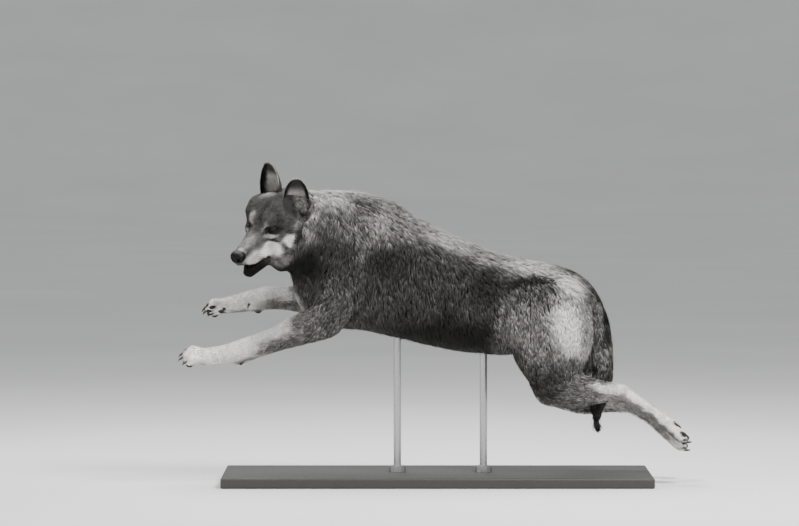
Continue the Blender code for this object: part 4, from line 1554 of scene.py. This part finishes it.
    def dress(self, pelt: Pelt, finish: Material) -> Object:
        """The skin as a piece: with its ears and lids, its marks and painted shade, and in its finish.

        Args:
            pelt: What grows on the skin.
            finish: The material.

        Returns:
            The piece.
        """
        form = bmesh.new()
        form.from_mesh(self.thinned(pelt))
        body_count = len(form.verts)
        self.ear_shells = [self.ear(side) for side in EARS]
        self.lid_shells = [self.lids(side, pelt) for side in EARS]
        shells = [*self.ear_shells, *self.lid_shells]
        for shell in shells:
            form.from_mesh(shell.mesh)
        joined = bpy.data.meshes.new("skin")
        form.to_mesh(joined)
        form.free()
        joined.shade_smooth()
        near = [self.tree.find_nearest(Vector(p))[2] for p in mesh_points(joined)[:body_count]]
        tone = pelt.tone[pelt.surface.triangles[near, 0]]
        paint(joined, tone_colour(np.concatenate([tone, *(shell.tone for shell in shells)])))
        joined.materials.append(finish)
        log.info("skin: %d triangles", len(mesh_triangles(joined)))
        return show("skin", joined)

    def ear_places(self, side: Side, points: Array) -> tuple[Array, Array, Array]:
        """Where points lie on an ear.

        Args:
            side: Which ear.
            points: Points in the world.

        Returns:
            Places in the ear's frame, height from 0 to 1, and how near its edge, from 0 to 1.
        """
        form = EARS[side]
        local = moved(points, form.matrix(self.head).inverted()) / (1, 1, form.tall)
        height = np.clip(local[:, 2] / form.heights[-1], 0, 1)
        deep = np.interp(local[:, 2], form.heights, form.depths)
        wide = np.interp(local[:, 2], form.heights, form.widths)
        angle = np.abs(np.arctan2(local[:, 1] / wide, -local[:, 0] / deep))
        return local, height, np.clip(angle / np.radians(140 - 55 * height**0.7), 0, 1)

    def ear_tone(self, side: Side, points: Array, inner: Array) -> Array:
        """The tones of an ear: a thin pale edge, a dark band inside it, pale lining and grey back.

        Args:
            side: Which ear.
            points: Points on it.
            inner: 1 on the lining and 0 on the back.

        Returns:
            Their tones.
        """
        _, height, edge = self.ear_places(side, points)
        back = 0.34 - 0.10 * ramp(edge, 0.4, 0.8) - 0.06 * ramp(height, 0.5, 0.9)
        lining = 0.78 - 0.52 * ramp(height, 0.50, 0.78)
        lining = lining - (lining - 0.12) * ramp(edge, 0.26, 0.52)
        rim = np.maximum(ramp(edge, 0.90, 0.97), ramp(height, 0.93, 0.98)) * ramp(height, 0.25, 0.6)
        return blend(blend(back, lining, inner), 0.66, rim)


def pads_of(leg: LegForm) -> list[tuple[Row, Row]]:
    """The pads of a paw.

    Args:
        leg: The leg.

    Returns:
        Their middles and half sizes in the paw's frame.
    """
    found = []
    for number, reach in enumerate(TOE_REACH):
        across = (number - 1.5) * TOE_SPREAD
        found.append(((reach - 0.014, across * 1.06, -0.0112), (0.0098, 0.0066, 0.0054)))
    found.append(((0.024, 0.0, -0.0136), (0.0120, 0.0132, 0.0076)))
    found.append(((0.014, 0.0100, -0.0128), (0.0088, 0.0074, 0.0068)))
    found.append(((0.014, -0.0100, -0.0128), (0.0088, 0.0074, 0.0068)))
    return found


def paint(mesh: Mesh, colours: Array) -> None:
    """Stores the colour of the markings, with painted shade and highlights, on each vertex."""
    layer = mesh.color_attributes.new("marking_and_painted_light", "FLOAT_COLOR", "POINT")
    rows = np.ones((len(colours), 4), np.float32)
    rows[:, :3] = colours
    layer.data.foreach_set("color", rows.ravel())


# --- Coat ---


@dataclass(frozen=True)
class CoatPart:
    """One piece of the coat: the solids that it grows on, its tufts, and between which levels it grows.

    A level is a height, or on the head how far forward it is.
    """

    name: str
    solids: tuple[str, ...]
    tufts: int
    above: float = -9.0
    below: float = 9.0


def both_sides(limb: str, *parts: str) -> tuple[str, ...]:
    """The names of the solids that a limb has on the left and on the right."""
    return tuple(f"{limb}_{side}_{part}" for part in parts for side in ("left", "right"))


COAT_PARTS = (
    CoatPart("coat_face", ("head", "lower_jaw"), 31_000, above=-0.045),
    CoatPart("coat_cheeks", ("head", "lower_jaw"), 26_000, below=-0.045),
    CoatPart("coat_neck", ("neck",), 32_000),
    CoatPart("coat_back", ("trunk_ribs",), 26_000, above=0.62),
    CoatPart("coat_belly", ("trunk_ribs",), 20_000, below=0.62),
    CoatPart("coat_rump", ("trunk_loin",), 24_000),
    CoatPart("coat_forelegs", both_sides("foreleg", "elbow", "forearm"), 17_000),
    CoatPart("coat_forefeet", both_sides("foreleg", "pastern", "paw"), 11_000),
    CoatPart("coat_thighs", both_sides("hindleg", "thigh"), 22_000),
    CoatPart("coat_shanks", both_sides("hindleg", "shank", "hock"), 13_000),
    CoatPart("coat_hindfeet", both_sides("hindleg", "paw"), 5_000),
    CoatPart("coat_tail", ("tail",), 13_000),
)
EAR_TUFTS, LID_TUFTS = 4_500, 900  # on each ear, and on the lids of each eye


@dataclass
class Coat:
    """The coat: many thin tufts that grow on the skin and lie along the body."""

    pelt: Pelt
    skin: Skin
    share: float = 1.0  # of the tufts that are grown
    strays: float = 0.09  # share of the tufts that stand out of the coat
    seed: int = 11

    def __post_init__(self) -> None:
        surface = self.pelt.surface
        self.normals = surface.normals()
        upward = np.array((0.9, 0, -0.3)) * ramp(self.normals[:, 2], 0.2, 0.85)[:, None]
        trunk = self.skin.among(self.pelt.nodes, "neck", "trunk_ribs", "trunk_loin")
        lie = self.pelt.lie + upward * trunk[:, None]
        lie = self.tangent(lie, self.normals)
        lie = surface.spread(lie, 12)
        self.lie = unit(self.tangent(lie, self.normals))

    @staticmethod
    def tangent(ways: Array, normals: Array) -> Array:
        """Directions with their part along the normal taken out."""
        return ways - normals * (ways * normals).sum(1, keepdims=True)

    def roots(self, part: CoatPart, draw: Chance) -> tuple[Array, Array, Array]:
        """Where the tufts of a piece grow.

        Args:
            part: The piece.
            draw: The source of chance.

        Returns:
            The chosen triangles, the shares of their corners, and the roots.
        """
        surface, pelt = self.pelt.surface, self.pelt
        corners = surface.triangles
        here = self.skin.among(pelt.nodes[corners[:, 0]], *part.solids)
        a, b, c = (surface.points[corners[:, k]] for k in range(3))
        middle = (a + b + c) / 3
        if part.solids[0] == "head":
            level = moved(middle, self.skin.into_head)[:, 0]
        else:
            level = middle[:, 2]
        here &= (level > part.above) & (level <= part.below)
        area = surface.areas() * here
        area *= 1 - np.clip(pelt.bare[corners].max(1) * 1.5, 0, 1)
        area /= np.maximum(pelt.width[corners[:, 0]], 0.0008) ** 0.7
        return surface.sow(area, int(part.tufts * self.share), draw)

    def grow(self, part: CoatPart, finish: Material) -> Object:
        """Makes one piece of the coat.

        Args:
            part: The piece.
            finish: The material of hair.

        Returns:
            The piece.
        """
        draw = np.random.default_rng(self.seed + sum(map(ord, part.name)))
        pelt = self.pelt
        chosen, shares, roots = self.roots(part, draw)
        count = len(roots)
        normal, lie, length, depth, width = (
            pelt.surface.mixed(values, chosen, shares)
            for values in (self.normals, self.lie, pelt.length, pelt.depth, pelt.width)
        )
        normal = unit(normal)
        rank = draw.uniform(0, 1, count)
        size = 0.62 + 0.42 * rank
        rise = 0.50 + 0.50 * rank**0.8
        stray = draw.uniform(0, 1, count) < self.strays
        rise[stray] *= 1.10 + 0.22 * ramp(length[stray], 0.020, 0.040)
        length = length * size * draw.uniform(0.85, 1.15, count)
        width = width * draw.uniform(0.65, 1.25, count) * np.where(stray, 0.5, 1.0) * self.share**-0.5
        across = unit(np.cross(lie, normal))
        sway = (ripple(roots, 0.055, 21) + ripple(roots, 0.018, 22)) * 0.30 + draw.normal(0, 0.10, count)
        sway *= np.clip(length / 0.030, 0.35, 1.0)
        way = unit(self.tangent(lie + across * sway[:, None], normal))
        aim = roots + way * length[:, None] * 0.94
        aim, aim_node = self.settle(aim, depth, rise)
        if part.name == "coat_tail":
            # past the tip the hair has no skin under it, and stands free
            beyond = 1 - ramp(lengths(roots - TAIL_LINE[-1]), 0.030, 0.060)
            free = roots + unit(lie + normal * draw.uniform(0.1, 0.6, (count, 1))) * length[:, None] * 0.72
            aim = blend(aim, free, beyond[:, None])
        aim = self.clump(roots, aim, length, draw)
        if part.name == "coat_cheeks":
            aim += unit(aim - roots) * (ramp(length, 0.024, 0.042) * draw.uniform(0, 0.010, count))[:, None]
        middle = roots * 0.60 + aim * 0.40 + normal * (depth * rise * 0.46)[:, None]
        blades = Blades(roots, middle, aim, normal, width, pelt.tone[aim_node], length)
        blades.vary(draw)
        return blades.piece(part.name, self.unrolled(part, roots), finish)

    def settle(self, aim: Array, depth: Array, rise: Array) -> tuple[Array, Array]:
        """Puts each tip at its height over the skin under it.

        Args:
            aim: Where the tips would be on a flat skin.
            depth: Depth of the coat at the roots.
            rise: Share of the depth that each tip reaches.

        Returns:
            The tips, and a vertex of the skin under each of them.
        """
        found = np.empty_like(aim)
        under = np.empty(len(aim), int)
        corners = self.pelt.surface.triangles
        for i, point in enumerate(aim):
            place, _, face, _ = self.skin.tree.find_nearest(Vector(point))
            found[i] = place
            under[i] = corners[face, 0]
        here = np.minimum(self.pelt.depth[under], depth * 1.6 + 0.002)
        return found + self.normals[under] * (here * rise)[:, None], under

    @staticmethod
    def clump(roots: Array, tips: Array, length: Array, draw: Chance) -> Array:
        """Draws the tips of neighbours together, as in a thick coat.

        Args:
            roots: The roots.
            tips: The tips.
            length: Length of each tuft.
            draw: The source of chance.

        Returns:
            The tips, drawn together.
        """
        cell = np.maximum(np.median(length) * 0.30, 0.004)
        jitter = np.stack([ripple(roots, cell * 3, seed) for seed in (31, 32, 33)], 1) * cell * 0.5
        keys = np.floor((roots + jitter) / cell).astype(np.int64)
        _, group = np.unique(keys, axis=0, return_inverse=True)
        group = group.ravel()
        size = np.bincount(group)
        mean = np.stack([np.bincount(group, tips[:, k]) / size for k in range(3)], 1)[group]
        pull = np.clip(length / 0.060, 0.15, 0.55) * draw.uniform(0.6, 1.2, len(tips))
        pull[size[group] < 2] = 0
        return tips + (mean - tips) * pull[:, None]

    def grow_ears(self, finish: Material) -> Object:
        """Makes the short hair of the ears and the lids.

        Args:
            finish: The material of hair.

        Returns:
            The piece.
        """
        draw = np.random.default_rng(self.seed)
        grown = [self.ear_hair(number, shell, draw) for number, shell in enumerate(self.skin.ear_shells)]
        grown += [self.lid_hair(number, shell, draw) for number, shell in enumerate(self.skin.lid_shells)]
        sets, places = zip(*grown)
        names = [one.name for one in fields(Blades) if one.init]
        joined = Blades(*(np.concatenate([getattr(one, name) for one in sets]) for name in names))
        joined.vary(draw)
        return joined.piece("coat_ears", np.vstack(places), finish)

    def ear_hair(self, number: int, shell: Shell, draw: Chance) -> tuple["Blades", Array]:
        """The hair of one ear, longer and paler in its opening.

        Args:
            number: Its number on the unwrap.
            shell: The ear.
            draw: The source of chance.

        Returns:
            The tufts, and their places on the unwrap.
        """
        count = int(EAR_TUFTS * self.share)
        chosen, _, roots = shell.surface.sow(shell.surface.areas(), count, draw)
        corner = shell.surface.triangles[chosen, 0]
        normal, lining = shell.surface.normals()[corner], shell.reading[corner]
        _, height, edge = self.skin.ear_places(shell.side, roots)
        turn = np.array(EARS[shell.side].matrix(self.skin.head).to_3x3().normalized())
        lie = np.tile(turn[:, 2], (count, 1)) + draw.normal(0, 0.16, (count, 3))
        lie += turn[:, 0] * (lining * ramp(-height, -0.7, -0.1) * 0.5)[:, None]
        low = ramp(-height, -0.62, -0.15) * (1 - ramp(edge, 0.55, 0.9))
        length = (0.0062 + lining * (0.0030 + low * 0.0150)) * draw.uniform(0.75, 1.2, count)
        way = unit(self.tangent(lie, normal) + normal * (0.16 + 0.42 * lining * low)[:, None])
        tips = roots + way * length[:, None]
        middle = roots * 0.6 + tips * 0.4 + normal * (length * 0.05)[:, None]
        width = (0.0008 + 0.0003 * lining) * draw.uniform(0.8, 1.2, count)
        tone = self.skin.ear_tone(shell.side, roots, lining)
        places = np.stack((0.01 + 0.98 * height, number * 0.5 + 0.01 + 0.24 * edge + 0.24 * lining), 1)
        return Blades(roots, middle, tips, normal, width, tone, length), places

    def lid_hair(self, number: int, shell: Shell, draw: Chance) -> tuple["Blades", Array]:
        """The short hair on the lids of one eye, which runs away from the nose and the eye.

        Args:
            number: Its number on the unwrap.
            shell: The lids.
            draw: The source of chance.

        Returns:
            The tufts, and their places on the unwrap.
        """
        surface, count = shell.surface, int(LID_TUFTS * self.share)
        least = shell.reading[surface.triangles].min(1)
        here = (least > LIDS.haired[0]) & (least < LIDS.haired[1])
        chosen, _, roots = surface.sow(surface.areas() * here, count, draw)
        corner = surface.triangles[chosen, 0]
        normal = surface.normals()[corner]
        spots = ((0.120, 0, -0.010), EYE.centre(shell.side.hand))
        nose, eye = (np.array(self.skin.head @ Vector(spot)) for spot in spots)
        way = unit(self.tangent(unit(roots - nose) * 0.7 + unit(roots - eye) * 0.3, normal) + normal * 0.22)
        length = 0.0036 * draw.uniform(0.8, 1.2, count)
        tips = roots + way * length[:, None]
        middle, width = roots * 0.6 + tips * 0.4, np.full(count, 0.0007)
        places = (draw.uniform(0.4, 0.6, count), number * 0.5 + draw.uniform(0.1, 0.2, count))
        return Blades(roots, middle, tips, normal, width, shell.tone[corner], length), np.stack(places, 1)

    @staticmethod
    def unrolled(part: CoatPart, roots: Array) -> Array:
        """The places of roots on an unwrap of the skin.

        The unwrap rolls each limb out flat: along its own axis one way, and round it the other.

        Args:
            part: The piece.
            roots: The roots.

        Returns:
            Two numbers from 0 to 1 for each root.
        """
        places = np.zeros((len(roots), 2))
        centres = np.array([sum(np.array(corner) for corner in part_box(name)) / 2 for name in part.solids])
        owner = np.linalg.norm(roots[:, None] - centres[None], axis=2).argmin(1)
        strip = 1 / len(centres)
        for number in np.unique(owner):
            here = owner == number
            middle = roots[here].mean(0)
            _, ways = np.linalg.eigh(np.cov((roots[here] - middle).T))
            turned = (roots[here] - middle) @ ways[:, ::-1]
            angle = np.arctan2(turned[:, 2], turned[:, 1]) / (2 * math.pi) + 0.5
            along = (turned[:, 0] - turned[:, 0].min()) / max(np.ptp(turned[:, 0]), 1e-6)
            places[here, 0] = 0.01 + 0.98 * along
            places[here, 1] = strip * (number + 0.02 + 0.96 * angle)
        return places


@dataclass
class Blades:
    """Many tufts as arrays: each is a closed three-sided spindle with a bend, fine at both ends."""

    roots: Array
    middle: Array
    tips: Array
    normal: Array
    width: Array
    tone: Array
    length: Array
    bands: Array = field(init=False)  # factors of the tone at root, bend and tip; the darker root is painted shade deep in the coat

    def vary(self, draw: Chance) -> None:
        """Gives tufts their own tones: some are banded, pale in the middle with a dark tip. Roots of long
        tufts get painted shade.

        Args:
            draw: The source of chance.
        """
        count, tone = len(self.roots), self.tone
        grizzle = 0.08 + 0.42 * np.exp(-(((tone - 0.40) / 0.22) ** 2))
        blot = ripple(self.roots, 0.026, 41) * 0.55 + ripple(self.roots, 0.010, 42) * 0.55
        grain = np.clip(draw.normal(0, 0.5, count), -1, 1)
        self.tone = np.clip(tone * (1 + grizzle * (0.55 * blot + 0.60 * grain)), 0.02, 1.0)
        banded = draw.uniform(0, 1, count) < 0.25 + grizzle * 0.7
        # painted shade: the roots of long tufts are darker, as the coat shades itself
        root_shade = 1 - 0.38 * ramp(self.length, 0.006, 0.030)
        self.bands = np.stack(
            (root_shade, np.where(banded, 1 + 0.28 * grizzle, 0.98), np.where(banded, 1 - 1.15 * grizzle, 1.06)), 1
        )

    def piece(self, name: str, places: Array, finish: Material) -> Object:
        """Joins the tufts into one mesh.

        Args:
            name: Name of the piece.
            places: Place of each root on the unwrap of the skin.
            finish: The material of hair.

        Returns:
            The piece.
        """
        count = len(self.roots)
        along = unit(self.tips - self.roots)
        across = unit(np.cross(along, self.normal))
        up = unit(np.cross(across, along))
        half, thick = (self.width * 0.5)[:, None], (self.width * 0.24)[:, None]
        low = self.roots - self.normal * np.minimum(self.width * 0.6, 0.0015)[:, None]
        bend = self.middle
        corners = (low, bend - across * half, bend + across * half, bend + up * thick, self.tips)
        faces = np.array(((0, 1, 2), (0, 3, 1), (0, 2, 3), (4, 2, 1), (4, 1, 3), (4, 3, 2)))
        triangles = (faces[None] + np.arange(count)[:, None, None] * 5).reshape(-1, 3)
        mesh = mesh_from(name, np.stack(corners, 1).reshape(-1, 3), triangles)
        tones = self.tone[:, None] * self.bands[:, (0, 1, 1, 1, 2)]
        paint(mesh, tone_colour(tones.ravel()))
        patch = np.array(((0, 0), (0, 0.5), (1, 0.5), (0.5, 0.5), (0.5, 1))) * 0.003
        spots = (places[:, None, :] + patch[None]).reshape(-1, 2)
        order = np.empty(len(mesh.loops), np.int32)
        mesh.loops.foreach_get("vertex_index", order)
        layer = mesh.uv_layers.new(name="OFBake")
        layer.data.foreach_set("uv", spots[order].astype(np.float32).ravel())
        mesh.materials.append(finish)
        log.info("%s: %d tufts", name, count)
        return show(name, mesh)


# --- Face, feet, stand and studio ---


@dataclass
class Face:
    """Eyes, nose, tongue and whiskers."""

    skin: Skin
    squareness: float = 2.6  # of the nose: 2 for an egg, and more for a box
    whisker_steps: int = 6

    def eye(self, side: Side) -> Object:
        """One eyeball, which rises at its cornea and is flatter under the lids.

        Args:
            side: Which eye.

        Returns:
            The piece.
        """
        form = bmesh.new()
        bmesh.ops.create_icosphere(form, subdivisions=5, radius=EYE.radius)
        gaze, _, up = (Vector(row) for row in EYE.axes(side.hand))
        facing = []
        for vertex in form.verts:
            ahead, lift = vertex.co.normalized().dot(gaze), abs(vertex.co.normalized().dot(up))
            vertex.co *= 1 + 0.05 * max(ahead - 0.80, 0) / 0.20 - 0.22 * min(max(lift - 0.45, 0) / 0.35, 1)
            facing.append(max(ahead, 0))
        centre = Matrix.Translation(EYE.centre(side.hand))
        bmesh.ops.transform(form, matrix=self.skin.head @ centre, verts=form.verts)
        made = show_form(f"eyeball_{side.name.lower()}", form)
        layer = made.data.attributes.new("facing", "FLOAT", "POINT")
        layer.data.foreach_set("value", facing)
        return made

    def nose(self) -> Object:
        """The leather of the nose, with nostrils and the groove between them; their deep hollows take painted
        shade.
        """
        form = bmesh.new()
        bmesh.ops.create_icosphere(form, subdivisions=5, radius=1)
        deep = set()
        inward, across, upward = NOSE.nostril
        for vertex in form.verts:
            x, y, z = vertex.co
            square = sum(abs(value) ** self.squareness for value in (x, y, z)) ** (-1 / self.squareness)
            point = Vector((x * NOSE.radii[0], y * NOSE.radii[1], z * NOSE.radii[2])) * square
            point.y *= 1 - 0.34 * min(max(-z * square, 0), 1) ** 1.5
            beside, over = abs(point.y) - across, point.z - upward
            if point.x > -0.002:
                major, minor = beside * 0.80 + over * 0.60, over * 0.80 - beside * 0.60
                hollow = math.exp(-(((major / 0.0054) ** 2 + (minor / 0.0038) ** 2) ** 1.4))
                point.x -= inward * hollow
                if hollow > 0.45:
                    deep.add(vertex)
                slit = ((beside - 0.0070) / 0.0050) ** 2 + ((over + 0.0045) / 0.0014) ** 2
                point.y *= 1 - 0.16 * math.exp(-slit)
                groove = 1 if point.z < 0.004 else 0.35
                point.x -= 0.0022 * groove * math.exp(-((point.y / 0.0012) ** 2))
            vertex.co = point
        for face in form.faces:
            # faces deep in a nostril take the second finish, which is painted shade
            face.material_index = int(all(vertex in deep for vertex in face.verts))
        bmesh.ops.transform(form, matrix=self.skin.head @ Matrix.Translation(NOSE.place), verts=form.verts)
        return show_form("nose_leather", form)

    def tongue(self) -> Object:
        """The tongue, painted dark as the shade inside the mouth; it lies low in the jaw and fills the mouth.
        """
        form, rings = bmesh.new(), []
        for x, top, wide, thick in (
            (-0.045, -0.040, 0.022, 0.022),
            (-0.010, -0.043, 0.021, 0.020),
            (0.025, -0.052, 0.0175, 0.014),
            (0.052, -0.058, 0.0140, 0.009),
            (0.070, -0.061, 0.0115, 0.006),
            (0.080, -0.0625, 0.0070, 0.003),
        ):
            place = self.skin.jaw @ Matrix.Translation((x, 0, top - thick))
            turned = place @ Matrix.Rotation(math.pi / 2, 4, "Y")
            rings.append((turned @ Matrix.Diagonal((thick, wide, 1, 1)), 1.0))
        tube(form, rings, 24)
        return show_form("tongue", form)

    def whiskers(self) -> Object:
        """Fine dark whiskers on both sides of the muzzle."""
        form = bmesh.new()
        draw = np.random.default_rng(77)
        for hand in (1, -1):
            for row in range(3):
                for number in range(4):
                    across = hand * (0.0225 + 0.0016 * number)
                    root = Vector((0.092 - 0.011 * number, across, -0.040 - 0.006 * row))
                    length = 0.024 + 0.009 * number + draw.uniform(0, 0.005)
                    way = Vector((-0.45 - 0.1 * number, hand * 0.9, -0.10 - 0.18 * row)).normalized()
                    self.whisker(form, root, way, length)
        return show_form("whiskers", form)

    def whisker(self, form: BMesh, root: Vector, way: Vector, length: float) -> None:
        """Adds one whisker: a thin cone that bends back and down.

        Args:
            form: What it is added to.
            root: Where it starts, in the frame of the head.
            way: Where it points.
            length: Its length.
        """
        turn = way.to_track_quat("Z", "Y").to_matrix().to_4x4()
        rings = []
        for step in range(self.whisker_steps + 1):
            t = step / self.whisker_steps
            centre = root + way * length * t + Vector((-0.25, 0, -0.20)) * length * t * t
            rings.append((self.skin.head @ Matrix.Translation(centre) @ turn, 0.00028 * (1 - t) + 0.00005))
        tube(form, rings, 4)


@dataclass
class Feet:
    """Claws and pads."""

    claw_length: float = 0.024
    claw_radius: float = 0.0040
    claw_bend: float = 52.0  # degrees from root to point
    claw_steps: int = 9
    wrist_radii: Row = (0.0105, 0.0085, 0.0090)
    grain: float = 0.0013  # at which the pads are fused

    def claw(self, form: BMesh, frame: Matrix) -> None:
        """Adds one claw: a tapered horn, flattened sideways and curved down to its point.

        Args:
            form: What it is added to.
            frame: The claw's frame, whose +X runs to its point.
        """
        rings = []
        bend, reach = math.radians(self.claw_bend), self.claw_length * 0.95
        for step in range(self.claw_steps + 1):
            t = step / self.claw_steps
            angle = bend * t
            centre = Vector((-0.42 * self.claw_length + reach * math.sin(angle) / bend, 0, 0))
            centre.z = -reach * (1 - math.cos(angle)) / bend + 0.0012
            turn = Matrix.Rotation(angle + math.pi / 2, 4, "Y")
            matrix = frame @ Matrix.Translation(centre) @ turn @ Matrix.Diagonal((1.1, 0.78, 1, 1))
            rings.append((matrix, self.claw_radius * (1 - t**1.7) + 0.0003))
        tube(form, rings, 10)

    def claws(self, leg: LegForm) -> tuple[Object, list[str]]:
        """The claws of one paw.

        Args:
            leg: The leg.

        Returns:
            The piece, and the names of the solids that it stands for.
        """
        form = bmesh.new()
        paw = leg.paw()
        for reach, across in TOES:
            place = Matrix.Translation((reach, across, -0.001)) @ Matrix.Rotation(math.radians(12), 4, "Y")
            self.claw(form, paw @ place)
        names = [f"claw_{leg.name}_{n}" for n in range(1, 5)]
        if leg.dewclaw:
            root, way = (Vector(row) for row in leg.dewclaw)
            turn = way.to_track_quat("X", "Z").to_matrix().to_4x4()
            self.claw(form, Matrix.Translation(root) @ turn @ Matrix.Scale(0.8, 4))
            names.append(f"claw_{leg.name}_dew")
        return show_form(f"claws_{leg.name}", form), names

    def pads(self, leg: LegForm) -> Object:
        """The leather pads under one paw.

        Args:
            leg: The leg.

        Returns:
            The piece.
        """
        form = bmesh.new()
        for centre, radii in pads_of(leg):
            matrix = leg.paw() @ Matrix.Translation(centre) @ Matrix.Diagonal((*radii, 1))
            bmesh.ops.create_icosphere(form, subdivisions=3, radius=1, matrix=matrix)
        if leg.wrist_pad:
            place = Vector(leg.wrist_pad) + Vector((0, 0, 0.0035))
            matrix = Matrix.Translation(place) @ Matrix.Diagonal((*self.wrist_radii, 1))
            bmesh.ops.create_icosphere(form, subdivisions=3, radius=1, matrix=matrix)
        thing = show_form(f"pads_{leg.name}", form)
        remesh = thing.modifiers.new("fuse", "REMESH")
        remesh.mode, remesh.voxel_size = "VOXEL", self.grain
        soften = thing.modifiers.new("soften", "SMOOTH")
        soften.iterations = 4
        mesh = settled(thing)
        mesh.shade_smooth()
        return show(f"pads_{leg.name}", mesh)


@dataclass
class Studio:
    """Floor, light and camera."""

    distance: float = 12.0
    height: float = 2.0  # degrees over the level of the wolf
    target: Row = (-0.10875, 0.0, 0.6368)
    lens: float = 186.4
    flat_radius: float = 28.0
    bend_radius: float = 34.0
    bend: float = 60.0  # degrees that the floor rises to
    bend_steps: int = 24

    def floor(self) -> Object:
        """A wide, plain, pale floor, which bends up softly far away all round."""
        form, rings = bmesh.new(), []
        for step in range(self.bend_steps + 1):
            angle = math.radians(step * self.bend / self.bend_steps)
            lift = Matrix.Translation((0, 0, self.bend_radius * (1 - math.cos(angle))))
            rings.append((lift, self.flat_radius + self.bend_radius * math.sin(angle)))
        tube(form, rings, 128, ends=(0,))
        made = finished(show_form("floor", form), FLOOR_PALE.make())
        return made

    def lights(self) -> None:
        """A broad key light from above and behind the camera's right, and soft fill all round."""
        world = bpy.data.worlds.new("studio")
        bpy.context.scene.world = world
        world.use_nodes = True
        background = world.node_tree.nodes["Background"]
        background.inputs["Color"].default_value = (0.90, 0.91, 0.92, 1)
        background.inputs["Strength"].default_value = 0.75
        for name, place, size, power in (
            ("key", (1.6, -1.8, 3.4), 1.5, 290),
            ("top", (-0.6, 0.9, 3.2), 2.0, 150),
            ("fill", (-2.8, -2.6, 1.4), 2.4, 40),
        ):
            lamp = bpy.data.lights.new(name, "AREA")
            lamp.size, lamp.energy = size, power
            made = bpy.data.objects.new(name, lamp)
            made.location = place
            way = Vector((-0.05, 0, 0.5)) - Vector(place)
            made.rotation_euler = way.to_track_quat("-Z", "Y").to_euler()
            bpy.context.scene.collection.objects.link(made)

    def camera(self) -> None:
        """The camera, far off with a long lens, nearly level with the wolf."""
        data = bpy.data.cameras.new("camera")
        data.sensor_width, data.lens, data.clip_end = 36, self.lens, 200
        made = bpy.data.objects.new("camera", data)
        rise = math.radians(self.height)
        back = Vector((0, -math.cos(rise), math.sin(rise)))
        made.location = Vector(self.target) + back * self.distance
        made.rotation_euler = (-back).to_track_quat("-Z", "Y").to_euler()
        bpy.context.scene.collection.objects.link(made)
        bpy.context.scene.camera = made


def finished(piece: Object, *materials: Material) -> Object:
    """A piece with its materials added, and reported."""
    for material in materials:
        piece.data.materials.append(material)
    log.info("%s: %d faces", piece.name, len(piece.data.polygons))
    return piece


def dress_stand(nodes: dict) -> None:
    """Gives the solids of the stand their finishes."""
    steel, satin = STEEL_BRUSHED.make(), BASE_SATIN.make()
    for name, node in nodes.items():
        if name.startswith("stand"):
            node.data.materials.clear()
            finished(node, satin if name == "stand_base" else steel)


def main() -> None:
    """Builds the scene."""
    logging.basicConfig(level=logging.INFO, format="%(relativeCreated)6d ms %(message)s")
    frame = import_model()
    studio = Studio()
    studio.camera()
    studio.lights()
    studio.floor()

    hair, bare = HAIR.make(), BARE_SKIN.make()
    skin = Skin(frame)
    pelt = skin.grow()
    body = skin.dress(pelt, bare)
    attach(body, "root")
    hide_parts(*skin.names)

    coat = Coat(pelt, skin)
    for part in COAT_PARTS:
        piece = coat.grow(part, hair)
        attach(piece, "root")

    piece = coat.grow_ears(hair)
    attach(piece, "root")

    face = Face(skin)
    wet = EyeFinish().make()
    for side in (Side.LEFT, Side.RIGHT):
        eye = finished(face.eye(side), wet)
        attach(eye, "root")
        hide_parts(f"eye_{side.name.lower()}")
    nose = finished(face.nose(), NOSE_BLACK.make(), NOSTRIL_SHADE.make())
    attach(nose, "root")
    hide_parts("nose")
    tongue = finished(face.tongue(), SHADED_TONGUE.make())
    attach(tongue, "root")
    whiskers = finished(face.whiskers(), WHISKER.make())
    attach(whiskers, "root")

    feet = Feet()
    horn, leather = CLAW_HORN.make(), PAD_BLACK.make()
    for leg in LEGS:
        claws, names = feet.claws(leg)
        finished(claws, horn)
        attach(claws, "root")
        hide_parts(*names)
        pads = finished(feet.pads(leg), leather)
        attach(pads, "root")

    dress_stand(frame["nodes"])


if __name__ == "__main__":
    main()
